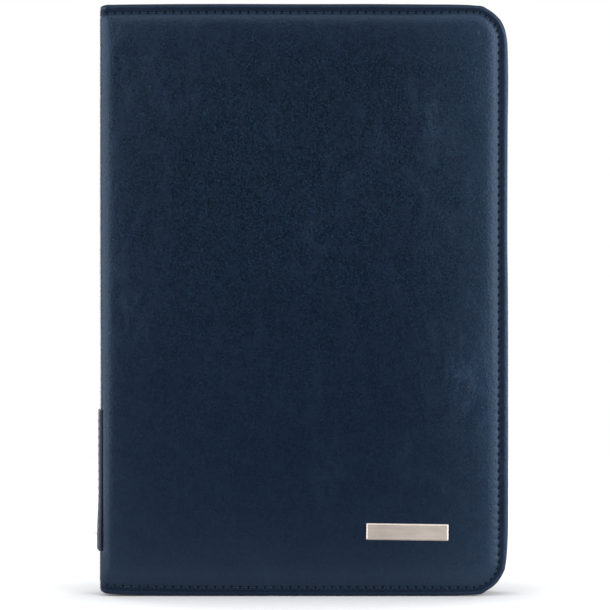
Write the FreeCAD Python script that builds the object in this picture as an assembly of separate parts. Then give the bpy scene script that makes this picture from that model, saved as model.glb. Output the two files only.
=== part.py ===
"""Tablet keyboard case: a leather folio that stands upright, closed, as a book stands on a shelf.

Working coordinates (millimetres), before the final shift to the bottom centre of the whole object:
  X  0 at the outer face of the spine (left), W at the fore edge (right)
  Y  0 at the front hem plane, T at the outer face of the back cover
  Z  0 at the bottom hem, H at the top hem
The front cover carries the keyboard on its inner face (keys look towards +Y).
The back cover carries the tablet, held by four corner elastics, and a fold-out stand flap.
"""

import FreeCAD, Part
import math
import os

V = FreeCAD.Vector

# ---------------------------------------------------------------- driving dimensions
H = 268.0            # height of the closed case
W = 184.3            # width of the closed case, spine face to fore edge
T = 27.0             # depth between the two hem planes
R = 16.3             # corner radius at the fore edge
LEATHER = 1.2        # leather thickness
BOARD = 2.0          # stiffener board thickness
LINING = 0.8         # suede lining thickness
COVER = LEATHER + BOARD + LINING
SPINE_R = 3.2        # outer radius of the leather fold at each spine corner
FOLD_AXIS = 0.69     # fold axis, from both outer faces: keeps the length of the leather over the fold
BOARD_EDGE = 4.6     # where the boards start, from the spine's outer face
SPINE_END = 4.4      # the spine board stops this far short of each end, inside the turned hem
EDGE_GAP = 0.1       # gap between a board and the leather wall around it

CROWN = 1.2          # how far the padded front panel stands proud of the hem
PANEL_INSET = 4.2    # hem width, edge to padded panel

BADGE_W, BADGE_H, BADGE_T = 37.0, 7.4, 0.9
BADGE_X, BADGE_Z = 139.0, 29.2
BADGE_TILT = 0.8     # degrees, the right end sits lower
BADGE_R = 0.3        # corner radius of the plate
BEVEL_W, BEVEL_D = 0.55, 0.17   # sloping border round the plate's flat face

LOOP_Z0, LOOP_Z1 = 20.5, 84.3   # pen loop along the spine
LOOP_Y0, LOOP_Y1 = 5.0, 22.0
LOOP_T = 1.1
LOOP_RISE = 1.7      # height of the flat tunnel under the loop

MAGNET_D, MAGNET_T = 8.0, 1.6
MAGNET_X = 173.0
MAGNET_Z = (62.0, 206.0)

# keyboard, on the inner face of the front cover
KB_X0, KB_X1 = 44.0, 152.5
KB_Z0, KB_Z1 = 10.0, 258.0
KB_R = 5.0
KB_WALL = 1.2
TAPE_T = 0.2
FLOOR_T = 0.8
PLATE_T = 0.3
MEMBRANE_T = 0.4
KB_H = 5.6           # keyboard thickness without its key caps
TOP_T = 1.0
KEY_PROUD = 1.5      # key caps above the top shell
KEY_TRAVEL = 1.3
KEY_U = 16.0         # key pitch along the row
ROW_PITCH = 15.4
FN_PITCH = 10.0
KEY_GAP = 2.4        # between neighbouring caps
KEY_CLEAR = 0.3      # cap to opening
FLANGE = 0.7         # flange under the top shell, beyond the cap
REAR = 18.0          # rear strip behind the keys: battery, circuit board, socket

# tablet bay on the back cover
TAB_X0, TAB_X1 = 7.0, 179.0
TAB_Z0, TAB_Z1 = 8.0, 260.0
TAB_Y0 = 12.9
ELASTIC_T = 0.8
ELASTIC_NEAR, ELASTIC_FAR = 30.0, 46.0   # where the band crosses the tablet's edge, from its corner

# stand flap on the outer face of the back cover
ST_X0, ST_X1 = 40.0, 127.3
ST_Z0, ST_Z1 = 74.0, 194.0
ST_R = 8.0
ST_BOARD, ST_LINING, ST_LEATHER = 1.4, 0.5, 1.0
ST_GAP = 0.2
STRIP_X0, STRIP_X1 = 128.3, 142.0
STRIP_T = 1.0

# ---------------------------------------------------------------- helpers
PARTS = {}


def box(x0, x1, y0, y1, z0, z1):
    return Part.makeBox(x1 - x0, y1 - y0, z1 - z0, V(x0, y0, z0))


def rrect(x0, x1, z0, z1, y, lb, rb, rt, lt):
    """Closed wire in the plane Y = y, with a radius for each corner (left/right, bottom/top)."""
    def arc(cx, cz, r, a0):
        p = [V(cx + r * math.cos(math.radians(a)), y, cz + r * math.sin(math.radians(a))) for a in (a0, a0 + 45, a0 + 90)]
        return Part.Arc(*p).toShape()

    pts, edges = [], []
    corners = [(x0 + lb, z0 + lb, lb, 180), (x1 - rb, z0 + rb, rb, 270), (x1 - rt, z1 - rt, rt, 0), (x0 + lt, z1 - lt, lt, 90)]
    raw = [(x0, z0), (x1, z0), (x1, z1), (x0, z1)]
    for (cx, cz, r, a0), (px, pz) in zip(corners, raw):
        if r > 1e-6:
            a = arc(cx, cz, r, a0)
            s = V(cx + r * math.cos(math.radians(a0)), y, cz + r * math.sin(math.radians(a0)))
            e = V(cx + r * math.cos(math.radians(a0 + 90)), y, cz + r * math.sin(math.radians(a0 + 90)))
            pts.append((s, a, e))
        else:
            p = V(px, y, pz)
            pts.append((p, None, p))
    n = len(pts)
    for i in range(n):
        if pts[i][1] is not None:
            edges.append(pts[i][1])
        a, b = pts[i][2], pts[(i + 1) % n][0]
        if a.distanceToPoint(b) > 1e-6:
            edges.append(Part.LineSegment(a, b).toShape())
    return Part.Wire(Part.__sortEdges__(edges))


def plate(x0, x1, z0, z1, y0, y1, lb=0, rb=0, rt=0, lt=0):
    return Part.Face(rrect(x0, x1, z0, z1, y0, lb, rb, rt, lt)).extrude(V(0, y1 - y0, 0))


def section(points, z0, z1):
    """Prism along Z from a list of edges in the XY plane (already closed)."""
    w = Part.Wire(Part.__sortEdges__(points))
    f = Part.Face(w)
    return f.extrude(V(0, 0, z1 - z0)).translated(V(0, 0, z0)) if z0 else f.extrude(V(0, 0, z1))


def seg(ax, ay, bx, by):
    return Part.LineSegment(V(ax, ay, 0), V(bx, by, 0)).toShape()


def arc2(cx, cy, r, a0, a1):
    p = [V(cx + r * math.cos(math.radians(a)), cy + r * math.sin(math.radians(a)), 0) for a in (a0, (a0 + a1) / 2, a1)]
    return Part.Arc(*p).toShape(), p[0], p[2]


def cyl_y(x, z, r, y0, y1):
    return Part.makeCylinder(r, y1 - y0, V(x, y0, z), V(0, 1, 0))


def fuse(shapes):
    s = shapes[0]
    if len(shapes) > 1:
        s = s.fuse(shapes[1:])
    return s.removeSplitter()


def edges_on(shape, test):
    return [e for e in shape.Edges if all(test(v.Point) for v in e.Vertexes) and test(e.valueAt((e.FirstParameter + e.LastParameter) / 2))]


def keep(name, *solids):
    PARTS[name] = solids[0] if len(solids) == 1 else Part.makeCompound(list(solids))


# ---------------------------------------------------------------- folds
HALF_GAP = 2.0       # degrees of arc left open on each side of the middle of a fold


def fold_front_half():
    """Leather from the flat front panel to the middle of the front fold."""
    c, ri = SPINE_R, SPINE_R - LEATHER
    a_out, s0, e0 = arc2(c, c, SPINE_R, 270, 225 + HALF_GAP)
    a_in, s1, e1 = arc2(c, c, ri, 270, 225 + HALF_GAP)
    x1 = BOARD_EDGE + 3.0
    return section([seg(x1, 0, c, 0), a_out, seg(e0.x, e0.y, e1.x, e1.y), a_in, seg(c, LEATHER, x1, LEATHER), seg(x1, LEATHER, x1, 0)], 0, H)


def spine_skin():
    c, ri = SPINE_R, SPINE_R - LEATHER
    cb = T - SPINE_R
    f_out, fs, fe = arc2(c, c, SPINE_R, 225 - HALF_GAP, 180)
    f_in, gs, ge = arc2(c, c, ri, 225 - HALF_GAP, 180)
    b_out, bs, be = arc2(c, cb, SPINE_R, 180, 135 + HALF_GAP)
    b_in, ds, de = arc2(c, cb, ri, 180, 135 + HALF_GAP)
    return section([f_out, seg(0, c, 0, cb), b_out, seg(be.x, be.y, de.x, de.y), b_in, seg(LEATHER, cb, LEATHER, c), f_in, seg(gs.x, gs.y, fs.x, fs.y)], 0, H)


def fold_back_half():
    c, ri, cb = SPINE_R, SPINE_R - LEATHER, T - SPINE_R
    a_out, s0, e0 = arc2(c, cb, SPINE_R, 90, 135 - HALF_GAP)
    a_in, s1, e1 = arc2(c, cb, ri, 90, 135 - HALF_GAP)
    x1 = BOARD_EDGE + 3.0
    return section([seg(x1, T, c, T), a_out, seg(e0.x, e0.y, e1.x, e1.y), a_in, seg(c, T - LEATHER, x1, T - LEATHER), seg(x1, T - LEATHER, x1, T)], 0, H)


# ---------------------------------------------------------------- front cover
def front_cover():
    outer = plate(BOARD_EDGE, W, 0, H, 0, COVER, 0, R, R, 0)
    hem = edges_on(outer, lambda p: abs(p.y) < 1e-6 and p.x > BOARD_EDGE + 1e-6 or abs(p.y) < 1e-6 and (abs(p.z) < 1e-6 or abs(p.z - H) < 1e-6))
    outer = outer.makeFillet(1.0, hem)
    i = PANEL_INSET
    panel = plate(BOARD_EDGE + 0.6, W - i, i, H - i, -CROWN, 0.2, 0, R - i, R - i, 0)
    panel = panel.makeChamfer(1.0, edges_on(panel, lambda p: abs(p.y + CROWN) < 1e-6))
    skin = fuse([outer, panel, fold_front_half()])
    g = LEATHER
    pocket = plate(BOARD_EDGE + 0.6 + 1.4, W - i - 1.4, i + 1.4, H - i - 1.4, 0, LEATHER + 0.1, 0, R - i - 1.4, R - i - 1.4, 0)
    tray = plate(BOARD_EDGE - 1, W - g, g, H - g, LEATHER, COVER + 1, 0, R - g, R - g, 0)
    skin = skin.cut([pocket, tray])

    e = g + EDGE_GAP
    board = plate(BOARD_EDGE, W - e, e, H - e, LEATHER, LEATHER + BOARD, 0, R - e, R - e, 0)
    lining = plate(BOARD_EDGE, W - e, e, H - e, LEATHER + BOARD, COVER, 0, R - e, R - e, 0)
    p = i + 1.4 + EDGE_GAP
    foam = plate(BOARD_EDGE + 2.0 + EDGE_GAP, W - p, p, H - p, 0, LEATHER, 0, R - p, R - p, 0)

    # badge: a plate with two prongs through the leather, clinched over a backer in the foam
    y1 = -CROWN
    r = BADGE_R
    step = y1 - BADGE_T + BEVEL_D
    w, h = BADGE_W / 2, BADGE_H / 2
    badge = plate(-w, w, -h, h, step, y1, r, r, r, r)
    low = rrect(-w, w, -h, h, step, r, r, r, r)
    w, h, r = w - BEVEL_W, h - BEVEL_W, BADGE_R / 2
    high = rrect(-w, w, -h, h, y1 - BADGE_T, r, r, r, r)
    badge = fuse([badge, Part.makeLoft([low, high], True, True)])
    prongs, prong_holes, backer_slots = [], [], []
    for s in (-1, 1):
        cx = s * 13.0
        prongs.append(box(cx - 1.0, cx + 1.0, y1 - 0.2, 0.75, -0.3, 0.3))
        prong_holes.append(box(cx - 1.1, cx + 1.1, y1 - 1, 1.0, -0.4, 0.4))
    backer = box(-16, 16, 0.0, 0.5, -2.6, 2.6).cut(prong_holes)
    pocket_b = box(-16.3, 16.3, -0.1, 0.9, -2.9, 2.9)
    badge = fuse([badge] + prongs)
    place = FreeCAD.Placement(V(BADGE_X, 0, BADGE_Z), FreeCAD.Rotation(V(0, 1, 0), BADGE_TILT))
    for s in [badge, backer, pocket_b] + prong_holes:
        s.Placement = place
    skin = skin.cut(prong_holes)
    foam = foam.cut(pocket_b)

    seats = [cyl_y(MAGNET_X, z, MAGNET_D / 2 + 0.1, LEATHER - 1e-3, LEATHER + MAGNET_T + 0.1) for z in MAGNET_Z]
    board = board.cut(seats)
    magnets = [cyl_y(MAGNET_X, z, MAGNET_D / 2, LEATHER + 0.02, LEATHER + 0.02 + MAGNET_T) for z in MAGNET_Z]

    keep("front_leather", skin)
    keep("front_board", board)
    keep("front_lining", lining)
    keep("front_foam", foam)
    keep("badge_plate", badge)
    keep("badge_backer", backer)
    keep("closing_magnets", *magnets)


# ---------------------------------------------------------------- spine
def spine():
    y0, y1 = BOARD_EDGE, T - BOARD_EDGE
    skin = fuse([spine_skin(), box(LEATHER - 0.2, COVER, y0, y1, 0, LEATHER), box(LEATHER - 0.2, COVER, y0, y1, H - LEATHER, H)])
    e = LEATHER + EDGE_GAP
    keep("spine_leather", skin)
    keep("spine_board", box(LEATHER, LEATHER + BOARD, y0, y1, SPINE_END, H - SPINE_END))
    keep("spine_lining", box(LEATHER + BOARD, COVER, y0, y1, e, H - e))

    # pen loop: a leather band sewn down along both long sides, with a flat tunnel between them
    f = 4.2            # width of each sewn side
    s = 2.2            # run of each slope
    a, b = LOOP_Y0, LOOP_Y1
    o, t = LOOP_RISE, LOOP_T
    pts = [(0, a), (0, a + f), (-o, a + f + s), (-o, b - f - s), (0, b - f), (0, b), (-t, b), (-t, b - f + 0.45), (-o - t, b - f - s + 0.45), (-o - t, a + f + s - 0.45), (-t, a + f - 0.45), (-t, a)]
    edges = [seg(*pts[k], *pts[(k + 1) % len(pts)]) for k in range(len(pts))]
    keep("pen_loop", section(edges, LOOP_Z0, LOOP_Z1))


# ---------------------------------------------------------------- back cover, elastics, stand
def back_cover():
    outer = plate(BOARD_EDGE, W, 0, H, T - COVER, T, 0, R, R, 0)
    hem = edges_on(outer, lambda p: abs(p.y - T) < 1e-6 and (p.x > BOARD_EDGE + 1e-6 or abs(p.z) < 1e-6 or abs(p.z - H) < 1e-6))
    outer = outer.makeFillet(1.0, hem)
    skin = fuse([outer, fold_back_half()])
    g, e = LEATHER, LEATHER + EDGE_GAP
    tray = plate(BOARD_EDGE - 1, W - g, g, H - g, T - COVER - 1, T - LEATHER, 0, R - g, R - g, 0)
    skin = skin.cut(tray)
    board = plate(BOARD_EDGE, W - e, e, H - e, T - LEATHER - BOARD, T - LEATHER, 0, R - e, R - e, 0)
    lining = plate(BOARD_EDGE, W - e, e, H - e, T - COVER, T - LEATHER - BOARD, 0, R - e, R - e, 0)
    ya, yb = T - LEATHER - MAGNET_T - 0.1, T - LEATHER + 1e-3
    stand_z = (ST_Z0 + ST_Z1) / 2
    stand_x = ST_X0 + 12.0
    seats = [cyl_y(MAGNET_X, z, MAGNET_D / 2 + 0.1, ya, yb) for z in MAGNET_Z] + [cyl_y(stand_x, stand_z, 6.1, T - LEATHER - 1.1, yb)]
    board = board.cut(seats)
    keep("back_leather", skin)
    keep("back_board", board)
    keep("back_lining", lining)
    keep("closing_keepers", *[cyl_y(MAGNET_X, z, MAGNET_D / 2, T - LEATHER - 0.02 - MAGNET_T, T - LEATHER - 0.02) for z in MAGNET_Z])
    keep("stand_keeper", cyl_y(stand_x, stand_z, 6.0, T - LEATHER - 1.02, T - LEATHER - 0.02))

    # corner elastics: each crosses one corner of the tablet and is sewn into the lining on both sides of it
    t, n, f = ELASTIC_T, ELASTIC_NEAR, ELASTIC_FAR
    yf, yb = TAB_Y0 - 0.1 - t, T - COVER
    bands = []
    for sx in (0, 1):
        for sz in (0, 1):
            X = (lambda d: TAB_X1 + 0.6 - d) if sx else (lambda d: TAB_X0 - 0.6 + d)
            Z = (lambda d: TAB_Z1 + 0.6 - d) if sz else (lambda d: TAB_Z0 - 0.6 + d)
            poly = [(X(n), Z(-t)), (X(f), Z(-t)), (X(-t), Z(f)), (X(-t), Z(n))]
            w = Part.makePolygon([V(x, yf, z) for x, z in poly + poly[:1]])
            band = Part.Face(w).extrude(V(0, t, 0))
            leg_a = box(min(X(n), X(f)), max(X(n), X(f)), yf, yb, min(Z(0), Z(-t)), max(Z(0), Z(-t)))
            leg_b = box(min(X(0), X(-t)), max(X(0), X(-t)), yf, yb, min(Z(n), Z(f)), max(Z(n), Z(f)))
            bands.append(fuse([band, leg_a, leg_b]))
    keep("corner_elastics", *bands)

    # stand flap: board and lining under a leather skin, thinned to the leather alone at the hinge
    y0 = T + ST_GAP
    yl, yb, yt = y0 + ST_LINING, y0 + ST_LINING + ST_BOARD, y0 + ST_LINING + ST_BOARD + ST_LEATHER
    wall, thin = 1.0, 4.0
    body = plate(ST_X0, ST_X1 - thin, ST_Z0, ST_Z1, y0, yt, ST_R, 0, 0, ST_R)
    body = body.makeFillet(0.7, edges_on(body, lambda p: abs(p.y - yt) < 1e-6 and p.x < ST_X1 - thin - 1e-6 or abs(p.y - yt) < 1e-6 and (abs(p.z - ST_Z0) < 1e-6 or abs(p.z - ST_Z1) < 1e-6)))
    tongue = box(ST_X1 - thin - 1.5, ST_X1, y0, y0 + ST_LEATHER, ST_Z0, ST_Z1)
    inner = plate(ST_X0 + wall, ST_X1 - thin - wall, ST_Z0 + wall, ST_Z1 - wall, y0 - 1, yb, ST_R - wall, 0, 0, ST_R - wall)
    leather = fuse([body, tongue]).cut(inner)
    k = wall + EDGE_GAP
    board = plate(ST_X0 + k, ST_X1 - thin - k, ST_Z0 + k, ST_Z1 - k, yl, yb, ST_R - k, 0, 0, ST_R - k)
    lining = plate(ST_X0 + k, ST_X1 - thin - k, ST_Z0 + k, ST_Z1 - k, y0, yl, ST_R - k, 0, 0, ST_R - k)
    board = board.cut(cyl_y(stand_x, stand_z, 6.1, yl - 0.1, yl + 1.2))
    keep("stand_leather", leather)
    keep("stand_board", board)
    keep("stand_lining", lining)
    keep("stand_magnet", cyl_y(stand_x, stand_z, 6.0, yl + 0.02, yl + 1.12))
    strip = plate(STRIP_X0, STRIP_X1, ST_Z0, ST_Z1, T, T + STRIP_T, 0, 2.0, 2.0, 0)
    keep("stand_hinge_strip", strip)


# ---------------------------------------------------------------- keyboard
KB_Y0 = COVER                     # on the lining of the front cover
FLOOR_Y = KB_Y0 + TAPE_T
PLATE_Y = FLOOR_Y + FLOOR_T
MEMB_Y = PLATE_Y + PLATE_T
DOME_Y = MEMB_Y + MEMBRANE_T
TOP_Y1 = KB_Y0 + KB_H
TOP_Y0 = TOP_Y1 - TOP_T
CAP_Y1 = TOP_Y1 + KEY_PROUD
FLANGE_Y1 = TOP_Y0 - 0.05
FLANGE_Y0 = FLANGE_Y1 - 0.55

KEY_LEFT_Z = KB_Z1 - 4.0          # left end of the rows as typed is the top of the upright case
ROWS_X0 = KB_X0 + REAR            # the function row starts here, towards the spine

# (node, units wide) along each row, left to right as typed; same names share a node
LAYOUT = [
    [("key_escape", 1)] + [("keys_function_row", 1)] * 13 + [("key_delete", 1)],
    [("keys_number_row", 1)] * 13 + [("key_backspace", 2)],
    [("key_tab", 1.5)] + [("keys_upper_letter_row", 1)] * 12 + [("keys_upper_letter_row", 1.5)],
    [("key_caps_lock", 1.75)] + [("keys_home_letter_row", 1)] * 11 + [("key_enter", 2.25)],
    [("key_shift_left", 2.25)] + [("keys_lower_letter_row", 1)] * 10 + [("key_shift_right", 1.75), ("key_arrow_up", 1)],
    [("key_control", 1.25), ("key_function", 1), ("key_menu", 1.25), ("key_alt", 1.25), ("key_space", 5.25), ("key_alt_right", 1), ("key_control_right", 1), ("key_arrow_left", 1), ("key_arrow_down", 1), ("key_arrow_right", 1)],
]


def key_places():
    """(node, centre x, centre z, cap size along x, cap size along z)"""
    out, x = [], ROWS_X0
    for n, row in enumerate(LAYOUT):
        pitch = FN_PITCH if n == 0 else ROW_PITCH
        z = KEY_LEFT_Z
        for node, u in row:
            out.append((node, x + pitch / 2, z - u * KEY_U / 2, pitch - KEY_GAP, u * KEY_U - KEY_GAP))
            z -= u * KEY_U
        x += pitch
    return out


def key_shape(sx, sz):
    """Key cap about its own centre, with a flange that stops it under the top shell."""
    cap = plate(-sx / 2, sx / 2, -sz / 2, sz / 2, FLANGE_Y0, CAP_Y1, 1.3, 1.3, 1.3, 1.3)
    cap = cap.makeFillet(0.4, edges_on(cap, lambda p: abs(p.y - CAP_Y1) < 1e-6))
    fl = plate(-sx / 2 - FLANGE, sx / 2 + FLANGE, -sz / 2 - FLANGE, sz / 2 + FLANGE, FLANGE_Y0, FLANGE_Y1, 0, 0, 0, 0)
    return fuse([cap, fl])


def keyboard():
    keys = key_places()
    x0, x1, z0, z1, r, w = KB_X0, KB_X1, KB_Z0, KB_Z1, KB_R, KB_WALL
    keep("keyboard_tape", plate(x0 + 6, x1 - 6, z0 + 6, z1 - 6, KB_Y0, FLOOR_Y, 2, 2, 2, 2))

    # base shell: floor with counterbored screw holes
    screws_at = [(x0 + 15.2, z) for z in (z0 + 6.5, z0 + 84, z0 + 160, z1 - 8.5)]
    base = plate(x0, x1, z0, z1, FLOOR_Y, PLATE_Y, r, r, r, r)
    base = base.cut([cyl_y(x, z, 0.9, FLOOR_Y - 1, PLATE_Y + 1) for x, z in screws_at] + [cyl_y(x, z, 1.6, FLOOR_Y - 1, FLOOR_Y + 0.5) for x, z in screws_at])
    keep("keyboard_base", base)

    # top shell: walls, plate with an opening for every cap, screw bosses behind the keys
    top = plate(x0, x1, z0, z1, PLATE_Y, TOP_Y1, r, r, r, r)
    top = top.makeFillet(0.8, edges_on(top, lambda p: abs(p.y - TOP_Y1) < 1e-6))
    top = top.cut(plate(x0 + w, x1 - w, z0 + w, z1 - w, PLATE_Y - 1, TOP_Y0, r - w, r - w, r - w, r - w))
    bosses = [cyl_y(x, z, 2.0, PLATE_Y, TOP_Y0 + 0.2) for x, z in screws_at]
    top = fuse([top] + bosses)
    c = KEY_CLEAR
    holes = [plate(kx - sx / 2 - c, kx + sx / 2 + c, kz - sz / 2 - c, kz + sz / 2 + c, TOP_Y0 - 1, TOP_Y1 + 1, 1.6, 1.6, 1.6, 1.6) for _, kx, kz, sx, sz in keys]
    holes += [cyl_y(x, z, 0.6, PLATE_Y - 1, PLATE_Y + 3.0) for x, z in screws_at]
    ux, uz = x0 + 9.0, z1
    holes.append(box(ux - 3.95, ux + 3.95, PLATE_Y + 0.75, PLATE_Y + 3.55, uz - 2, uz + 1))
    sw_x, sw_z = x0 + 6.5, z1 - 26.0
    holes.append(box(sw_x - 1.6, sw_x + 1.6, TOP_Y0 - 1, TOP_Y1 + 1, sw_z - 4.6, sw_z + 4.6))
    bt_x, bt_z = x0 + 6.5, z1 - 44.0
    holes.append(cyl_y(bt_x, bt_z, 2.7, TOP_Y0 - 1, TOP_Y1 + 1))
    leds = [(x0 + 6.5, z1 - 58.0 - 5.0 * k) for k in range(3)]
    holes += [cyl_y(x, z, 0.95, TOP_Y0 - 1, TOP_Y1 + 1) for x, z in leds]
    top = top.cut(holes)
    keep("keyboard_top", top)

    keep("keyboard_screws", *[fuse([cyl_y(x, z, 1.5, FLOOR_Y + 0.05, FLOOR_Y + 0.5), cyl_y(x, z, 0.55, FLOOR_Y + 0.4, PLATE_Y + 2.8)]) for x, z in screws_at])
    inner = (ROWS_X0 + 0.2, x1 - w - 0.2, z0 + w + 0.2, z1 - w - 0.2)
    keep("key_backplate", plate(*inner, PLATE_Y, MEMB_Y, 0, 3, 3, 0))
    keep("key_membrane", plate(*inner, MEMB_Y, DOME_Y, 0, 3, 3, 0))

    domes, groups, shapes = [], {}, {}
    for node, kx, kz, sx, sz in keys:
        domes.append(Part.makeCone(2.6, 1.5, FLANGE_Y0 - 0.05 - DOME_Y, V(kx, DOME_Y, kz), V(0, 1, 0)))
        key = (round(sx, 3), round(sz, 3))
        if key not in shapes:
            shapes[key] = key_shape(sx, sz)
        groups.setdefault(node, []).append(shapes[key].copy().translated(V(kx, 0, kz)))
    keep("key_domes", *domes)
    for node, solids in groups.items():
        keep(node, *solids)

    # rear strip: circuit board with its socket, battery, slider, button and lenses
    pcb_y = PLATE_Y + 0.7
    pcb = fuse([
        box(x0 + w + 0.8, x0 + 12.8, PLATE_Y, pcb_y, z0 + 150, z1 - w - 0.2),
        box(sw_x - 1.7, sw_x + 1.7, pcb_y - 0.1, pcb_y + 1.9, sw_z - 4.5, sw_z + 4.5),   # slide switch
        box(bt_x - 2.2, bt_x + 2.2, pcb_y - 0.1, pcb_y + 1.2, bt_z - 2.2, bt_z + 2.2),   # push switch
        box(sw_x - 3.0, sw_x + 3.0, pcb_y - 0.1, pcb_y + 0.9, z0 + 160, z0 + 166),       # radio chip
    ] + [box(x - 0.8, x + 0.8, pcb_y - 0.1, pcb_y + 0.7, z - 0.8, z + 0.8) for x, z in leds])
    keep("keyboard_pcb", pcb)
    keep("keyboard_battery", plate(x0 + w + 0.8, x0 + 12.4, z0 + 10, z0 + 140, PLATE_Y + 0.05, PLATE_Y + 3.2, 1.2, 1.2, 1.2, 1.2))
    sy0 = PLATE_Y + 0.8
    socket = box(ux - 3.75, ux + 3.75, sy0, sy0 + 2.6, uz - 6.0, uz - 0.25)
    cavity = box(ux - 3.35, ux + 3.35, sy0 + 0.4, sy0 + 2.2, uz - 5.0, uz + 1)
    tongue = box(ux - 2.6, ux + 2.6, sy0 + 1.25, sy0 + 1.75, uz - 5.2, uz - 1.2)
    keep("usb_socket", fuse([socket.cut(cavity), tongue]))
    d = 1.5            # the slider is shown at the off end of its 3 mm travel
    slider = fuse([box(sw_x - 1.35, sw_x + 1.35, TOP_Y0 - 0.4, TOP_Y1 + 0.9, sw_z - d - 2.6, sw_z - d + 2.6), box(sw_x - 3.2, sw_x + 3.2, TOP_Y0 - 0.75, TOP_Y0 - 0.1, sw_z - d - 7.5, sw_z - d + 7.5)])
    keep("power_slider", slider)
    button = cyl_y(bt_x, bt_z, 2.45, TOP_Y0 - 0.3, TOP_Y1 + 0.7)
    button = button.makeFillet(0.3, edges_on(button, lambda p: abs(p.y - TOP_Y1 - 0.7) < 1e-6))
    keep("connect_button", fuse([button, cyl_y(bt_x, bt_z, 3.4, TOP_Y0 - 0.7, TOP_Y0 - 0.1)]))
    keep("indicator_lenses", *[cyl_y(x, z, 0.9, TOP_Y0 - 0.5, TOP_Y1 + 0.05) for x, z in leds])


# ---------------------------------------------------------------- build and write
front_cover()
spine()
back_cover()
keyboard()

# the origin goes to the bottom centre of the whole object
lo = [min(s.BoundBox.XMin for s in PARTS.values()), min(s.BoundBox.YMin for s in PARTS.values()), min(s.BoundBox.ZMin for s in PARTS.values())]
hi = [max(s.BoundBox.XMax for s in PARTS.values()), max(s.BoundBox.YMax for s in PARTS.values()), max(s.BoundBox.ZMax for s in PARTS.values())]
SHIFT = V(-(-LOOP_RISE - LOOP_T + W) / 2, -(-CROWN - BADGE_T + T + ST_GAP + ST_LINING + ST_BOARD + ST_LEATHER) / 2, 0)

os.makedirs("parts", exist_ok=True)
total = 0.0
for name, shape in sorted(PARTS.items()):
    moved = shape.copy()
    moved.translate(SHIFT)
    for s in moved.Solids:
        if not s.isValid():
            print("invalid solid in", name)
    moved.exportStep("parts/%s.step" % name)
    total += moved.Volume
print("nodes", len(PARTS), "volume_cm3", round(total / 1000, 1))
print("bounds before the shift", [round(v, 3) for v in lo], [round(v, 3) for v in hi])
print("shift", round(SHIFT.x, 4), round(SHIFT.y, 4), round(SHIFT.z, 4))
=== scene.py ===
import bpy
import math
import numpy as np
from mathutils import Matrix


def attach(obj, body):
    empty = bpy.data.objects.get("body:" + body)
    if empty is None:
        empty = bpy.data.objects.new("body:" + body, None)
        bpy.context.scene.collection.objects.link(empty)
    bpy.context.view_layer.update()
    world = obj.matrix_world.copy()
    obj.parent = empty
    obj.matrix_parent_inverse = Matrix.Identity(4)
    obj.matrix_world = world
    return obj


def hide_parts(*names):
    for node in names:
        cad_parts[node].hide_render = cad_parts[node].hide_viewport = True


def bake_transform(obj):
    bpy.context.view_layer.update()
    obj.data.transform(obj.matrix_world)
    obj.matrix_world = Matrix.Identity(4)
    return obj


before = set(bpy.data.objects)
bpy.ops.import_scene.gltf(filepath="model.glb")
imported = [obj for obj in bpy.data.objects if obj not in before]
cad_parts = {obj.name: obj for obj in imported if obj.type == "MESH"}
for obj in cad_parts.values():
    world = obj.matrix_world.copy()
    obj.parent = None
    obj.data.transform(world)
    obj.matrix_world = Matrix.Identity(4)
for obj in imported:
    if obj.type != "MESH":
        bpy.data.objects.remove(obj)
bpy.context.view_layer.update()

# ------------------------------------------------------------------ sizes (case millimetres)
# Case coordinates: x 0 at the spine's outer face, y 0 at the front hem plane, z 0 at the bottom hem.
OFF = np.array([90.75, 14.0, 0.0])
W, H, T = 184.3, 268.0, 27.0
FOLD_R = 3.2
ARC = FOLD_R * math.pi / 2
U_FOLD = FOLD_R - ARC                    # unrolled place where the fold meets the flat spine
U_MID = U_FOLD - (T / 2 - FOLD_R)        # unrolled place of the middle of the spine
HEM = 3.9                                # stitch line, from the edge
CROWN = 1.2                              # the padded panel stands this far out of the hem
RUNS = (51, 69)                          # stitches along the bottom or top, and along the fore edge
BADGE = (139.0, 29.2)


def M(p):
    return (np.asarray(p, float) - OFF) / 1000.0


def sstep(t):
    t = np.clip(t, 0.0, 1.0)
    return t * t * (3 - 2 * t)


def vnoise(x, y, cell, seed):
    """Smooth lattice noise in -1..1, the same on every run."""
    tab = np.random.RandomState(seed).uniform(-1, 1, (97, 89))
    fx, fy = np.asarray(x, float) / cell, np.asarray(y, float) / cell
    ix, iy = np.floor(fx).astype(int), np.floor(fy).astype(int)
    tx, ty = fx - ix, fy - iy
    tx, ty = tx * tx * (3 - 2 * tx), ty * ty * (3 - 2 * ty)
    g = lambda i, j: tab[i % 97, j % 89]
    return (g(ix, iy) * (1 - tx) + g(ix + 1, iy) * tx) * (1 - ty) + (g(ix, iy + 1) * (1 - tx) + g(ix + 1, iy + 1) * tx) * ty


def link(ob):
    bpy.context.scene.collection.objects.link(ob)
    return ob


def make(name, verts_mm, faces, mat, smooth=True):
    me = bpy.data.meshes.new(name)
    me.from_pydata(M(verts_mm).tolist(), [], faces)
    me.update()
    me.polygons.foreach_set("use_smooth", [smooth] * len(me.polygons))
    me.materials.append(mat)
    return link(bpy.data.objects.new(name, me))


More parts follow.
